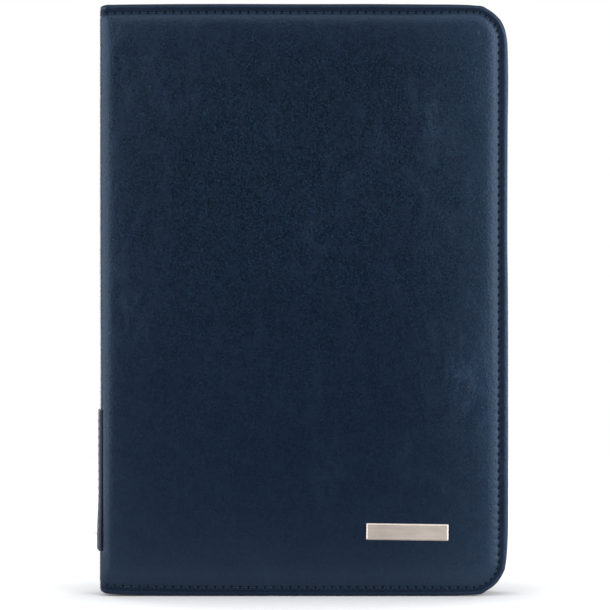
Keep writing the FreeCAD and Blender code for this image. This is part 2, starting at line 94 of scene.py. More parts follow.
# ------------------------------------------------------------------ materials
class Mat:
    """A node material with one Principled shader and a few helpers."""

    def __init__(self, name):
        self.m = bpy.data.materials.new(name)
        self.m.use_nodes = True
        self.t = self.m.node_tree
        self.t.nodes.clear()
        self.out = self.t.nodes.new("ShaderNodeOutputMaterial")
        self.b = self.t.nodes.new("ShaderNodeBsdfPrincipled")
        self.t.links.new(self.b.outputs[0], self.out.inputs[0])
        self.co = self.t.nodes.new("ShaderNodeTexCoord").outputs["Object"]

    def n(self, kind, **kw):
        node = self.t.nodes.new(kind)
        for k, v in kw.items():
            if hasattr(node, k):
                setattr(node, k, v)
            else:
                node.inputs[k.replace("_", " ")].default_value = v
        return node

    def link(self, a, b):
        self.t.links.new(a, b)

    def set(self, **kw):
        for k, v in kw.items():
            self.b.inputs[k.replace("_", " ")].default_value = v

    def scaled(self, sx, sy, sz, rot=(0, 0, 0)):
        m = self.n("ShaderNodeMapping")
        m.inputs["Scale"].default_value = (sx, sy, sz)
        m.inputs["Rotation"].default_value = rot
        self.link(self.co, m.inputs["Vector"])
        return m.outputs[0]

    def noise(self, scale, detail=4.0, rough=0.55, vec=None, distortion=0.0):
        n = self.n("ShaderNodeTexNoise")
        n.inputs["Scale"].default_value = scale
        n.inputs["Detail"].default_value = detail
        n.inputs["Roughness"].default_value = rough
        n.inputs["Distortion"].default_value = distortion
        self.link(vec or self.co, n.inputs["Vector"])
        return n.outputs["Fac"]

    def voronoi(self, scale, feature="F1", vec=None, rand=1.0, smooth=None):
        n = self.n("ShaderNodeTexVoronoi")
        n.feature = feature
        n.inputs["Scale"].default_value = scale
        n.inputs["Randomness"].default_value = rand
        if smooth is not None and "Smoothness" in n.inputs:
            n.inputs["Smoothness"].default_value = smooth
        self.link(vec or self.co, n.inputs["Vector"])
        return n.outputs["Distance"]

    def wave(self, scale, vec=None, direction="X", distortion=0.0, detail=0.0):
        n = self.n("ShaderNodeTexWave")
        n.bands_direction = direction
        n.inputs["Scale"].default_value = scale
        n.inputs["Distortion"].default_value = distortion
        n.inputs["Detail"].default_value = detail
        self.link(vec or self.co, n.inputs["Vector"])
        return n.outputs["Fac"]

    def ramp(self, fac, stops):
        r = self.n("ShaderNodeValToRGB")
        e = r.color_ramp.elements
        while len(e) < len(stops):
            e.new(0.5)
        for el, (p, c) in zip(e, stops):
            el.position = p
            el.color = (*c, 1.0) if len(c) == 3 else c
        self.link(fac, r.inputs["Fac"])
        return r.outputs["Color"]

    def span(self, fac, lo, hi, a=0.0, b=1.0):
        r = self.n("ShaderNodeMapRange")
        for k, v in (("From Min", lo), ("From Max", hi), ("To Min", a), ("To Max", b)):
            r.inputs[k].default_value = v
        self.link(fac, r.inputs["Value"])
        return r.outputs["Result"]

    def math(self, op, a, b=None):
        n = self.n("ShaderNodeMath")
        n.operation = op
        for i, v in enumerate((a, b)):
            if v is None:
                continue
            if isinstance(v, (int, float)):
                n.inputs[i].default_value = v
            else:
                self.link(v, n.inputs[i])
        return n.outputs[0]

    def mix(self, fac, a, b, blend="MIX"):
        n = self.n("ShaderNodeMix")
        n.data_type = "RGBA"
        n.blend_type = blend
        for sock, v in ((n.inputs["Factor"], fac), (n.inputs[6], a), (n.inputs[7], b)):
            if isinstance(v, (int, float)):
                sock.default_value = v
            elif isinstance(v, tuple):
                sock.default_value = (*v, 1.0)
            else:
                self.link(v, sock)
        return n.outputs[2]

    def color(self, sock):
        self.link(sock, self.b.inputs["Base Color"])

    def rough(self, sock):
        self.link(sock, self.b.inputs["Roughness"])

    def bump(self, *layers):
        """layers: (height socket, strength, distance in metres), stacked."""
        last = None
        for h, s, d in layers:
            b = self.n("ShaderNodeBump")
            b.inputs["Strength"].default_value = s
            b.inputs["Distance"].default_value = d
            self.link(h, b.inputs["Height"])
            if last is not None:
                self.link(last, b.inputs["Normal"])
            last = b.outputs["Normal"]
        self.link(last, self.b.inputs["Normal"])


def leather(name, dark, light, rough=(0.23, 0.31), creases=(), edges=True, spec=0.28):
    """Dyed pull-up hide: fine pebble grain, soft mottling, and patches where bending has opened the grain.
    With edges on, painted light is added: the colour is lighter towards the edges, most at the fore edge, and in a band
    over the foot.

    creases: (x, y, z, half width, half length, tilt in degrees, strength) of marks on the front, in frame metres."""
    m = Mat(name)
    broad = m.noise(21, 4, 0.6, None, 0.5)
    mid = m.noise(120, 4, 0.6, None, 0.3)
    fine = m.noise(620, 4, 0.65)
    tone = m.math("ADD", m.math("MULTIPLY", broad, 0.45), m.math("ADD", m.math("MULTIPLY", mid, 0.3), m.math("MULTIPLY", fine, 0.25)))
    col = m.ramp(tone, [(0.34, dark), (0.52, tuple((a + b) / 2 for a, b in zip(dark, light))), (0.68, light)])
    # painted light: lighter colour towards the edges, strongest at the fore edge and weakest at the spine, with a band
    # of painted floor reflection over the foot and a faint painted highlight under the head
    if edges:
        sep = m.n("ShaderNodeSeparateXYZ")
        m.link(m.co, sep.inputs[0])
        ex = m.math("POWER", m.math("DIVIDE", m.math("ABSOLUTE", sep.outputs["X"]), 0.0935), 3.2)
        ez = m.math("POWER", m.math("DIVIDE", m.math("ABSOLUTE", m.math("SUBTRACT", sep.outputs["Z"], 0.134)), 0.134), 3.2)
        right = m.span(sep.outputs["X"], -0.02, 0.02, 0.32, 1.15)
        foot = m.math("MULTIPLY", m.math("MULTIPLY", m.span(sep.outputs["Z"], 0.015, 0.006, 0.0, 1.0), m.span(sep.outputs["Z"], 0.0034, 0.0046, 0.0, 1.0)), 0.72)
        head = m.math("MULTIPLY", m.math("MULTIPLY", m.span(sep.outputs["Z"], 0.248, 0.260, 0.0, 1.0), m.span(sep.outputs["Z"], 0.2646, 0.2634, 0.0, 1.0)), 0.10)
        rim = m.math("ADD", m.math("ADD", m.math("MULTIPLY", ex, right), m.math("MULTIPLY", ez, 0.35)), m.math("ADD", foot, head))
        # the painted edge light is added onto the colour
        painted_edge_light = m.n("ShaderNodeMix")
        painted_edge_light.data_type, painted_edge_light.blend_type = "RGBA", "ADD"
        painted_edge_light.inputs["Factor"].default_value = 1.0
        m.link(col, painted_edge_light.inputs[6])
        m.link(m.mix(m.math("MINIMUM", m.math("MULTIPLY", rim, 0.5), 1.0), (0.0, 0.0, 0.0), (0.0092, 0.0136, 0.0212)), painted_edge_light.inputs[7])
        col = painted_edge_light.outputs[2]
    # open grain, in patches that run mostly up the cover
    patch = m.span(m.noise(14, 3, 0.55, m.scaled(1.0, 1.0, 0.55, (0.0, 0.25, 0.0)), 0.6), 0.50, 0.70)
    vein = m.span(m.noise(150, 4, 0.62, m.scaled(1.0, 1.0, 0.34, (0.0, 0.2, 0.0)), 0.9), 0.42, 0.66)
    mark = m.math("MULTIPLY", patch, m.math("MULTIPLY", vein, 0.8))
    wob = m.n("ShaderNodeTexNoise")
    wob.inputs["Scale"].default_value = 110.0
    wob.inputs["Detail"].default_value = 4.0
    m.link(m.co, wob.inputs["Vector"])
    push = m.n("ShaderNodeVectorMath")
    push.operation = "MULTIPLY_ADD"
    push.inputs[1].default_value = (0.008, 0.0, 0.008)
    m.link(wob.outputs["Color"], push.inputs[0])
    m.link(m.co, push.inputs[2])
    for x, y, z, hw, hl, tilt, k in creases:
        mp = m.n("ShaderNodeMapping")
        mp.vector_type = "TEXTURE"
        mp.inputs["Location"].default_value = (x + 0.004, y, z + 0.004)
        mp.inputs["Rotation"].default_value = (0.0, math.radians(tilt), 0.0)
        mp.inputs["Scale"].default_value = (hw, 0.02, hl)
        m.link(push.outputs[0], mp.inputs["Vector"])
        g = m.n("ShaderNodeTexGradient")
        g.gradient_type = "SPHERICAL"
        m.link(mp.outputs[0], g.inputs["Vector"])
        mark = m.math("MAXIMUM", mark, m.math("MULTIPLY", m.math("MULTIPLY", g.outputs["Fac"], k), m.math("ADD", m.math("MULTIPLY", vein, 0.7), 0.3)))
    grit = m.span(m.noise(1150, 3, 0.66), 0.40, 0.62)
    mark = m.math("MULTIPLY", mark, m.math("ADD", m.math("MULTIPLY", grit, 0.8), 0.2))
    # hair-cell grain, dye darker in its valleys and ridge tops lighter: partly the grain's own tone, partly a painted
    # glint on the ridges; it is more open towards the head and the fore edge
    place = m.n("ShaderNodeSeparateXYZ")
    m.link(m.co, place.inputs[0])
    open_up = m.math("MINIMUM", m.math("ADD", m.span(place.outputs["Z"], 0.03, 0.19, 0.30, 0.95), m.span(place.outputs["X"], 0.05, 0.09, 0.0, 0.45)), 1.0)
    open_up = m.math("MULTIPLY", open_up, m.span(place.outputs["Z"], 0.240, 0.262, 1.0, 0.55))
    net = m.math("ABSOLUTE", m.math("SUBTRACT", m.noise(1120, 1, 0.5, None, 0.3), 0.5))
    dots = m.math("ABSOLUTE", m.math("SUBTRACT", m.noise(1600, 1, 0.5), 0.5))
    ridge = m.math("ADD", m.math("MULTIPLY", m.span(net, 0.0, 0.075, 1.0, 0.0), 0.55), m.math("MULTIPLY", m.span(dots, 0.0, 0.085, 1.0, 0.0), 0.45))
    col = m.mix(1.0, col, m.math("SUBTRACT", 1.0, m.math("MULTIPLY", m.math("MULTIPLY", open_up, m.span(place.outputs["X"], 0.045, 0.085, 1.0, 0.45)), 0.74)), "MULTIPLY")
    # painted glint: the ridge tops are mixed towards a light navy, with a bluish lift where edges is on
    col = m.mix(m.math("MULTIPLY", m.math("MULTIPLY", m.math("MULTIPLY", ridge, ridge), open_up), 0.95), col, tuple(c * 2.8 + (k if edges else 0.0) for c, k in zip(light, (0.0060, 0.0120, 0.0140))))
    col = m.mix(m.math("MULTIPLY", mark, 0.60), col, tuple(min(1.0, c * 2.6 + 0.004) for c in light))
    m.color(col)
    r = m.span(m.math("ADD", m.math("MULTIPLY", fine, 0.5), m.math("MULTIPLY", mid, 0.5)), 0.3, 0.7, rough[0], rough[1])
    m.rough(m.math("ADD", r, m.math("MULTIPLY", mark, 0.14)))
    m.set(Specular_IOR_Level=spec, IOR=1.45, Specular_Tint=(0.495, 0.695, 1.0, 1.0))
    # grain: rounded pebbles with narrow valleys, then hair-cell noise
    pebble = m.voronoi(900, "SMOOTH_F1", None, 1.0, 0.4)
    m.bump((m.noise(80, 4, 0.55), 0.14, 0.00035), (pebble, 0.24, 0.00016), (m.noise(1500, 3, 0.62), 0.30, 0.00012), (m.math("MULTIPLY", ridge, open_up), 0.22, 0.00007), (m.math("MULTIPLY", mark, grit), 0.30, 0.0002))
    return m.m


NAVY_DARK, NAVY_LIGHT = (0.0007, 0.0031, 0.0088), (0.0015, 0.0048, 0.0123)
CREASES = [
    (0.0590, -0.0155, 0.212, 0.0065, 0.036, 3, 0.80), (0.0680, -0.0155, 0.204, 0.0050, 0.030, 2, 0.55), (0.0510, -0.0155, 0.222, 0.0040, 0.022, -5, 0.5),
    (0.0570, -0.0155, 0.180, 0.0060, 0.030, -33, 0.62), (0.0650, -0.0155, 0.172, 0.0050, 0.026, -36, 0.55), (0.0760, -0.0155, 0.186, 0.0040, 0.020, 6, 0.5),
    (-0.0190, -0.0155, 0.118, 0.0040, 0.016, 4, 0.45), (-0.0705, -0.0155, 0.222, 0.0080, 0.044, 2, 0.30),
]
LEATHER = leather("navy_leather", NAVY_DARK, NAVY_LIGHT, creases=CREASES)
# painted shade for the hem valley and the needle holes: darker leather with weaker reflection and no edge light
LEATHER_HEM_SHADE = leather("navy_leather_hem", (0.0009, 0.0026, 0.0072), (0.0018, 0.0042, 0.0104), (0.40, 0.50), edges=False, spec=0.14)
LEATHER_LOOP = leather("navy_leather_loop", (0.0062, 0.0086, 0.0205), (0.0128, 0.0165, 0.0330), (0.46, 0.56), edges=False, spec=0.16)


def thread_mat(name, a, b, sheen=0.15, spec=0.4, tint=(1.0, 1.0, 1.0, 1.0)):
    m = Mat(name)
    tw = m.wave(900, None, "DIAGONAL", 0.6, 1.0)
    m.color(m.ramp(m.math("ADD", m.math("MULTIPLY", tw, 0.6), m.math("MULTIPLY", m.noise(700, 3), 0.4)), [(0.2, a), (0.8, b)]))
    m.rough(m.span(m.noise(1500, 2), 0.3, 0.7, 0.5, 0.72))
    m.set(Sheen_Weight=sheen, Sheen_Roughness=0.4, Specular_IOR_Level=spec, Specular_Tint=tint)
    m.bump((tw, 0.5, 0.00006))
    return m.m


THREAD = thread_mat("navy_thread", (0.0015, 0.0036, 0.0085), (0.0060, 0.0110, 0.0205), 0.0, 0.22, (0.50, 0.70, 1.0, 1.0))
THREAD_LOOP = thread_mat("loop_thread", (0.030, 0.036, 0.066), (0.095, 0.105, 0.160), 0.05, 0.2)
THREAD_IN = thread_mat("charcoal_thread", (0.012, 0.014, 0.018), (0.045, 0.048, 0.055))


def suede(name, a, b):
    m = Mat(name)
    nap = m.noise(60, 5, 0.65, None, 0.8)
    fuzz = m.noise(2600, 3, 0.7)
    m.color(m.ramp(m.math("ADD", m.math("MULTIPLY", nap, 0.65), m.math("MULTIPLY", fuzz, 0.35)), [(0.3, a), (0.7, b)]))
    m.rough(m.span(fuzz, 0.3, 0.7, 0.86, 0.98))
    m.set(Sheen_Weight=0.35, Sheen_Roughness=0.55, Specular_IOR_Level=0.15)
    m.bump((nap, 0.25, 0.0004), (fuzz, 0.55, 0.00012))
    return m.m


SUEDE = suede("charcoal_suede", (0.018, 0.020, 0.025), (0.040, 0.043, 0.050))


def elastic_mat():
    m = Mat("woven_elastic")
    rib = m.wave(520, m.scaled(1, 1, 1, (0, math.radians(45), 0)), "X", 0.2, 1.0)
    rib2 = m.wave(520, m.scaled(1, 1, 1, (0, math.radians(-45), 0)), "X", 0.2, 1.0)
    weft = m.math("MULTIPLY", rib, rib2)
    m.color(m.ramp(weft, [(0.0, (0.006, 0.0065, 0.008)), (0.5, (0.016, 0.017, 0.020)), (1.0, (0.034, 0.036, 0.042))]))
    m.rough(m.span(m.noise(900, 3), 0.3, 0.7, 0.62, 0.85))
    m.set(Sheen_Weight=0.2, Sheen_Roughness=0.45, Specular_IOR_Level=0.3)
    m.bump((weft, 0.7, 0.00018), (m.noise(2400, 2), 0.2, 0.00005))
    return m.m


ELASTIC = elastic_mat()


def plastic(name, a, b, rough, grain=1600, bump=0.25, dist=0.00005, spec=0.45):
    m = Mat(name)
    cloud = m.noise(35, 4, 0.6)
    tex = m.noise(grain, 3, 0.6)
    m.color(m.ramp(m.math("ADD", m.math("MULTIPLY", cloud, 0.7), m.math("MULTIPLY", tex, 0.3)), [(0.3, a), (0.7, b)]))
    m.rough(m.span(m.math("ADD", m.math("MULTIPLY", cloud, 0.5), m.math("MULTIPLY", tex, 0.5)), 0.3, 0.7, rough[0], rough[1]))
    m.set(Specular_IOR_Level=spec)
    m.bump((tex, bump, dist))
    return m.m


def metal(name, a, b, rough, brush="X", scale=(30.0, 900.0), bump=0.12):
    m = Mat(name)
    s = {"X": (scale[0], scale[1], scale[1]), "Z": (scale[1], scale[1], scale[0]), "Y": (scale[1], scale[0], scale[1])}[brush]
    lines = m.noise(1.0, 4, 0.6, m.scaled(*s))
    cloud = m.noise(120, 3, 0.5)
    m.color(m.ramp(m.math("ADD", m.math("MULTIPLY", lines, 0.6), m.math("MULTIPLY", cloud, 0.4)), [(0.3, a), (0.7, b)]))
    m.rough(m.span(lines, 0.25, 0.75, rough[0], rough[1]))
    m.set(Metallic=1.0)
    m.bump((lines, bump, 0.00003))
    return m.m


BADGE_MAT = metal("satin_badge", (0.305, 0.265, 0.238), (0.395, 0.345, 0.312), (0.36, 0.46), "X", (60.0, 1500.0), 0.10)
STEEL = metal("zinc_steel", (0.42, 0.42, 0.43), (0.60, 0.60, 0.61), (0.28, 0.42), "Z")
NICKEL = metal("nickel_magnet", (0.52, 0.51, 0.49), (0.66, 0.65, 0.63), (0.16, 0.28), "X", (200.0, 500.0), 0.05)
FOIL = metal("foil_pouch", (0.50, 0.51, 0.53), (0.64, 0.65, 0.67), (0.26, 0.5), "Z", (140.0, 260.0), 0.3)
SHELL = plastic("keyboard_shell", (0.0150, 0.0155, 0.0175), (0.0235, 0.0240, 0.0265), (0.42, 0.56), 2200, 0.35, 0.00006)
KEYCAP = plastic("key_cap", (0.0175, 0.0180, 0.0200), (0.0270, 0.0275, 0.0300), (0.46, 0.60), 2600, 0.3, 0.00005)
SWITCH = plastic("switch_plastic", (0.030, 0.031, 0.034), (0.045, 0.046, 0.050), (0.28, 0.42), 1800, 0.2, 0.00004)
BOARD = plastic("grey_board", (0.20, 0.19, 0.175), (0.33, 0.315, 0.29), (0.85, 0.96), 900, 0.6, 0.00015, 0.2)
FOAM = plastic("foam", (0.22, 0.22, 0.23), (0.34, 0.34, 0.35), (0.9, 0.98), 1200, 0.8, 0.0003, 0.15)
TAPE = plastic("foam_tape", (0.55, 0.55, 0.53), (0.70, 0.70, 0.68), (0.7, 0.85), 700, 0.4, 0.0001, 0.3)
FILM = plastic("membrane_film", (0.42, 0.45, 0.44), (0.62, 0.65, 0.63), (0.25, 0.4), 400, 0.1, 0.00004)
RUBBER = plastic("dome_rubber", (0.50, 0.50, 0.48), (0.62, 0.62, 0.60), (0.55, 0.7), 900, 0.2, 0.00005, 0.35)
PCB = plastic("circuit_board", (0.008, 0.060, 0.028), (0.016, 0.110, 0.052), (0.3, 0.45), 500, 0.3, 0.00006)
LENS = plastic("clear_lens", (0.55, 0.60, 0.60), (0.70, 0.75, 0.75), (0.12, 0.2), 500, 0.05, 0.00002, 0.5)
# dark material for the pen loop's cut edges
DARK_CUT_EDGE = plastic("edge_paint", (0.0012, 0.0018, 0.0040), (0.0035, 0.0048, 0.0090), (0.42, 0.58), 900, 0.3, 0.00008, 0.2)
LEGEND = plastic("key_print", (0.55, 0.56, 0.57), (0.68, 0.69, 0.70), (0.5, 0.62), 900, 0.1, 0.00002, 0.3)

# ------------------------------------------------------------------ sheet builder


def crom(pts, n=14):
    """Points along a smooth line through pts."""
    p = np.asarray(pts, float)
    if len(p) == 2:
        t = np.linspace(0, 1, n + 1)[:, None]
        return p[0] * (1 - t) + p[1] * t
    q = np.vstack([2 * p[0] - p[1], p, 2 * p[-1] - p[-2]])
    out = []
    for i in range(1, len(q) - 2):
        k = [0.0]
        for a in range(i - 1, i + 2):
            k.append(k[-1] + max(np.linalg.norm(q[a + 1] - q[a]), 1e-6) ** 0.5)
        t = np.linspace(k[1], k[2], n, endpoint=False)[:, None]
        a1 = (k[1] - t) / (k[1] - k[0]) * q[i - 1] + (t - k[0]) / (k[1] - k[0]) * q[i]
        a2 = (k[2] - t) / (k[2] - k[1]) * q[i] + (t - k[1]) / (k[2] - k[1]) * q[i + 1]
        a3 = (k[3] - t) / (k[3] - k[2]) * q[i + 1] + (t - k[2]) / (k[3] - k[2]) * q[i + 2]
        b1 = (k[2] - t) / (k[2] - k[0]) * a1 + (t - k[0]) / (k[2] - k[0]) * a2
        b2 = (k[3] - t) / (k[3] - k[1]) * a2 + (t - k[1]) / (k[3] - k[1]) * a3
        out.append((k[2] - t) / (k[2] - k[1]) * b1 + (t - k[1]) / (k[2] - k[1]) * b2)
    out.append(p[-1:])
    return np.vstack(out)


def run(*pieces):
    """One side of an outline from smooth stretches; neighbours share a point, where the side may turn sharply."""
    out = [crom(pieces[0])]
    for p in pieces[1:]:
        out.append(crom(p)[1:])
    return np.vstack(out)


def resample(pts, n):
    seg = np.hypot(*np.diff(pts, axis=0).T)
    s = np.concatenate([[0], np.cumsum(seg)])
    t = np.linspace(0, s[-1], n + 1)
    return np.stack([np.interp(t, s, pts[:, k]) for k in range(2)], 1)


def arc_pts(cx, cz, r, a0, a1, n=24):
    a = np.radians(np.linspace(a0, a1, n + 1))
    return np.stack([cx + r * np.cos(a), cz + r * np.sin(a)], 1)


def u_sides(u0, u1, z0, z1, r, edge=lambda u: 0 * u, edge_top=None):
    """A plain U: bottom, fore edge and top, with round fore corners; edge(u) raises the bottom, edge_top lowers the top."""
    edge_top = edge_top or edge
    u = np.linspace(u0, u1 - r, 160)
    bottom = np.vstack([np.stack([u, z0 + edge(u)], 1), arc_pts(u1 - r, z0 + r, r, 270, 315)[1:]])
    right = np.vstack([arc_pts(u1 - r, z0 + r, r, 315, 360), arc_pts(u1 - r, z1 - r, r, 0, 45)])
    top = np.vstack([arc_pts(u1 - r, z1 - r, r, 45, 90), np.stack([u[::-1], z1 - edge_top(u[::-1])], 1)[1:]])
    return bottom, right, top


class Sheet:
    """A skin on a U-shaped outline: rings follow the outline, a grid fills the middle, the rim wraps the edge.

    base(u, z, h) places a point; top(u, z, d, phase) is the skin's height, d its distance from the edge;
    thick(u) is the depth of the rim. Everything is in millimetres."""

    def __init__(self, name, mat, shown, smooth, counts, base, top, thick, rings, rim, fine=8, step=4, dense=6.5, blend_d=4.0, crest=1.6):
        nb, nr = counts
        self.n = n = fine * (2 * nb + nr)
        self.fine, self.base, self.top, self.counts = fine, base, top, counts
        parts = (fine * nb, fine * nr, fine * nb)

        def path(sides):
            r = [resample(s, k) for s, k in zip(sides, parts)]
            return np.vstack([r[0], r[1][1:], r[2][1:]])

        self.ok, self.os = path(shown), path(smooth)
        t = np.gradient(self.os, axis=0)
        t[0], t[-1] = (1, 0), (-1, 0)
        t /= np.linalg.norm(t, axis=1)[:, None]
        for _ in range(3):
            t[1:-1] = (t[:-2] + 2 * t[1:-1] + t[2:]) / 4
        t /= np.linalg.norm(t, axis=1)[:, None]
        self.nrm = np.stack([-t[:, 1], t[:, 0]], 1)
        self.blend_d = blend_d
        self.phase = (np.arange(n + 1) % fine) / fine

        # coarse points for the middle: all points near the fold, every few elsewhere
        cb = [i for i in range(parts[0] + 1) if self.os[i, 0] < dense or i % step == 0]
        cr = list(range(parts[0], parts[0] + parts[1] + 1, step))
        ct = [n - i for i in reversed(cb)]
        coarse = cb + cr[1:] + ct[1:]
        verts, faces = [], []
        total = 0

        def add(p):
            nonlocal total
            verts.append(p)
            total += len(p)
            return total - len(p)

        def at(d, f=0.0, idx=slice(None)):
            p = self.ring(d)[idx]
            h = top(p[:, 0], p[:, 1], np.full(len(p), max(d, crest) if f else d), self.phase[idx])
            if f:
                h = h - f * thick(p[:, 0])
            return base(p[:, 0], p[:, 1], h)

        inner = rings[0]
        pc = self.ring(inner)[coarse]
        start = add(at(inner, 0.0, coarse))
        prev, count = add(at(rings[1])), n + 1
        for k in range(len(coarse) - 1):
            i0, i1 = coarse[k], coarse[k + 1]
            faces.append([start + k + 1, start + k] + [prev + i for i in range(i0, i1 + 1)])
        self.bands, last = [], rings[1]
        for d, f in [(d, 0.0) for d in rings[2:]] + list(rim):
            cur = add(at(d, f))
            self.bands.append((len(faces), last, d, f))
            last = d
            faces += [[prev + i, cur + i, cur + i + 1, prev + i + 1] for i in range(n)]
            prev = cur
        # the middle, as a patch between the four sides of the inner ring
        a, b = len(cb), len(cr)
        bot, rig, tp = pc[:a], pc[a - 1:a + b - 1], pc[::-1][:a]
        s = np.concatenate([[0], np.cumsum(np.hypot(*np.diff(bot, axis=0).T))])
        s = (s / s[-1])[:, None, None]
        q = np.linspace(0, 1, b)[None, :, None]
        left = pc[0] * (1 - q[0]) + pc[-1] * q[0]
        grid = (1 - q) * bot[:, None] + q * tp[:, None] + (1 - s) * left[None] + s * rig[None] - ((1 - s) * (1 - q) * bot[0] + s * (1 - q) * bot[-1] + (1 - s) * q * tp[0] + s * q * tp[-1])
        ids = np.full((a, b), -1)
        ids[:, 0] = start + np.arange(a)
        ids[-1, :] = start + a - 1 + np.arange(b)
        ids[:, -1] = start + len(coarse) - 1 - np.arange(a)
        new = np.argwhere(ids < 0)
        g = grid[new[:, 0], new[:, 1]]
        far = inner + np.maximum(0.0, np.minimum(np.minimum(g[:, 1] - bot[:, 1].min(), tp[:, 1].max() - g[:, 1]), rig[:, 0].max() - g[:, 0]))
        first = add(base(g[:, 0], g[:, 1], top(g[:, 0], g[:, 1], far, np.zeros(len(g)))))
        ids[new[:, 0], new[:, 1]] = first + np.arange(len(new))
        for i in range(a - 1):
            for j in range(b - 1):
                faces.append([int(ids[i, j]), int(ids[i + 1, j]), int(ids[i + 1, j + 1]), int(ids[i, j + 1])])
        v = np.vstack(verts)
        i, j = a // 2, b // 2
        e1, e2 = v[ids[i + 1, j]] - v[ids[i, j]], v[ids[i, j + 1]] - v[ids[i, j]]
        g = grid[i:i + 1, j]
        up = (base(g[:, 0], g[:, 1], np.ones(1)) - base(g[:, 0], g[:, 1], np.zeros(1)))[0]
        if np.dot(np.cross(e1, e2), up) < 0:
            faces = [f[::-1] for f in faces]
        self.obj = make(name, v, faces, mat)

    def ring(self, d):
        w = float(sstep(np.array(d / self.blend_d)))
        return self.ok * (1 - w) + self.os * w + self.nrm * d

    def stitches(self, name, mat, d, lift=0.20, r=0.27, sink=0.50, sides=7, m=11, slant=0.16, gap=0.42, seed=5):
        """One raised thread from needle hole to needle hole along the ring at distance d."""
        k = self.n // self.fine
        rs = np.random.RandomState(seed)
        jd, jl, js = rs.normal(0, 0.05, (k, 1)), rs.normal(0, 0.03, (k, 1)), rs.normal(0, 0.05, (k, 1))
        t = np.linspace(gap * 0.5, 1 - gap * 0.5, m)[None, :]
        ring, nrm = self.ring(d), self.nrm
        s = (np.arange(k)[:, None] + t) * self.fine
        i = np.arange(self.n + 1)
        u = np.interp(s, i, ring[:, 0])
        z = np.interp(s, i, ring[:, 1])
        nu, nz = np.interp(s, i, nrm[:, 0]), np.interp(s, i, nrm[:, 1])
        off = jd + (slant + js) * (t - 0.5) * 2
        u, z = u + nu * off, z + nz * off
        flat = self.top(u.ravel(), z.ravel(), np.full(u.size, d), np.full(u.size, 0.5)).reshape(u.shape)
        x = np.sin(np.pi * (t - t[0, 0]) / (t[0, -1] - t[0, 0]))
        h = flat - sink + (sink + lift + jl) * np.clip(x, 0, 1) ** 0.45
        pts = self.base(u.ravel(), z.ravel(), h.ravel()).reshape(k, m, 3)
        ups = pts - self.base(u.ravel(), z.ravel(), h.ravel() - 1.0).reshape(k, m, 3)
        return make(name, *tubes(pts, ups, r, sides), mat)


def tubes(pts, ups, r, sides=7, flat=0.85):
    """Closed round threads along each row of pts."""
    k, m, _ = pts.shape
    t = np.gradient(pts, axis=1)
    t /= np.linalg.norm(t, axis=2)[..., None]
    b = np.cross(t, ups)
    b /= np.linalg.norm(b, axis=2)[..., None]
    n = np.cross(b, t)
    rad = r * (0.62 + 0.38 * np.sin(np.pi * np.linspace(0.08, 0.92, m)) ** 0.6)[None, :, None, None]
    a = np.linspace(0, 2 * np.pi, sides, endpoint=False)[None, None, :, None]
    v = pts[:, :, None] + rad * (np.cos(a) * b[:, :, None] + flat * np.sin(a) * n[:, :, None])
    faces = []
    for q in range(k):
        o = q * m * sides
        for i in range(m - 1):
            for j in range(sides):
                j2 = (j + 1) % sides
                faces.append([o + i * sides + j, o + i * sides + j2, o + (i + 1) * sides + j2, o + (i + 1) * sides + j])
        faces.append([o + j for j in range(sides)][::-1])
        faces.append([o + (m - 1) * sides + j for j in range(sides)])
    return v.reshape(-1, 3), faces


def line_stitches(name, mat, holes, ups, lift=0.12, r=0.25, sink=0.35, side=None, m=9, sides=7):
    """Threads between neighbouring points of holes (k, 3) that stand on a surface with the normals ups."""
    holes, ups = np.asarray(holes, float), np.asarray(ups, float)
    t = np.linspace(0.06, 0.94, m)[None, :, None]
    p = holes[:-1, None] * (1 - t) + holes[1:, None] * t
    up = ups[:-1, None] * (1 - t) + ups[1:, None] * t
    x = np.sin(np.pi * np.linspace(0, 1, m))[None, :, None]
    p = p + up * (-sink + (sink + lift) * x ** 0.45)
    if side is not None:
        p = p + np.asarray(side, float) * 0.12 * (t - 0.5) * 2
    return tubes(p, np.broadcast_to(up, p.shape), r, sides)


# ------------------------------------------------------------------ leather of the covers and the spine
def leather_base(front):
    def place(u, z, h):
        u, z, h = np.broadcast_arrays(*(np.asarray(q, float) for q in (u, z, h)))
        phi = math.pi * 1.5 - (FOLD_R - u) / FOLD_R
        x = np.where(u >= FOLD_R, u, np.where(u >= U_FOLD, FOLD_R + FOLD_R * np.cos(phi), 0.0))
        y = np.where(u >= FOLD_R, 0.0, np.where(u >= U_FOLD, FOLD_R + FOLD_R * np.sin(phi), FOLD_R + (U_FOLD - u)))
        nx = np.where(u >= FOLD_R, 0.0, np.where(u >= U_FOLD, np.cos(phi), -1.0))
        ny = np.where(u >= FOLD_R, -1.0, np.where(u >= U_FOLD, np.sin(phi), 0.0))
        x, y = x + nx * h, y + ny * h
        return np.stack([x, y if front else T - y, z], -1)
    return place


def leather_thick(u):
    """Rim depth: the full cover on the boards, leather and lining alone at the fold."""
    a = sstep((u - 4.3) / 1.2) + sstep((U_FOLD - 1.2 - u) / 1.2)
    return 2.0 + 2.0 * np.clip(a, 0, 1)


def hem_detail(u, z, d, ph, depth):
    """Seam along the stitch line, a hole at each end of each stitch, and the pull of the thread between them."""
    panel = np.exp(-((d - HEM) / 0.85) ** 2)
    hem = 0.62 + 0.38 * np.exp(-((d - HEM) / 0.55) ** 2)
    groove = -depth * np.where(d > HEM, panel, hem)
    near = np.minimum(ph, 1 - ph) * 3.77
    hole = -0.80 * np.exp(-(near / 0.68) ** 2 - ((d - HEM) / 0.46) ** 2)
    pull = 0.03 * -np.cos(2 * np.pi * ph) * (np.exp(-((d - 5.2) / 0.9) ** 2) + 0.6 * np.exp(-((d - 2.6) / 0.7) ** 2))
    return groove + hole + pull


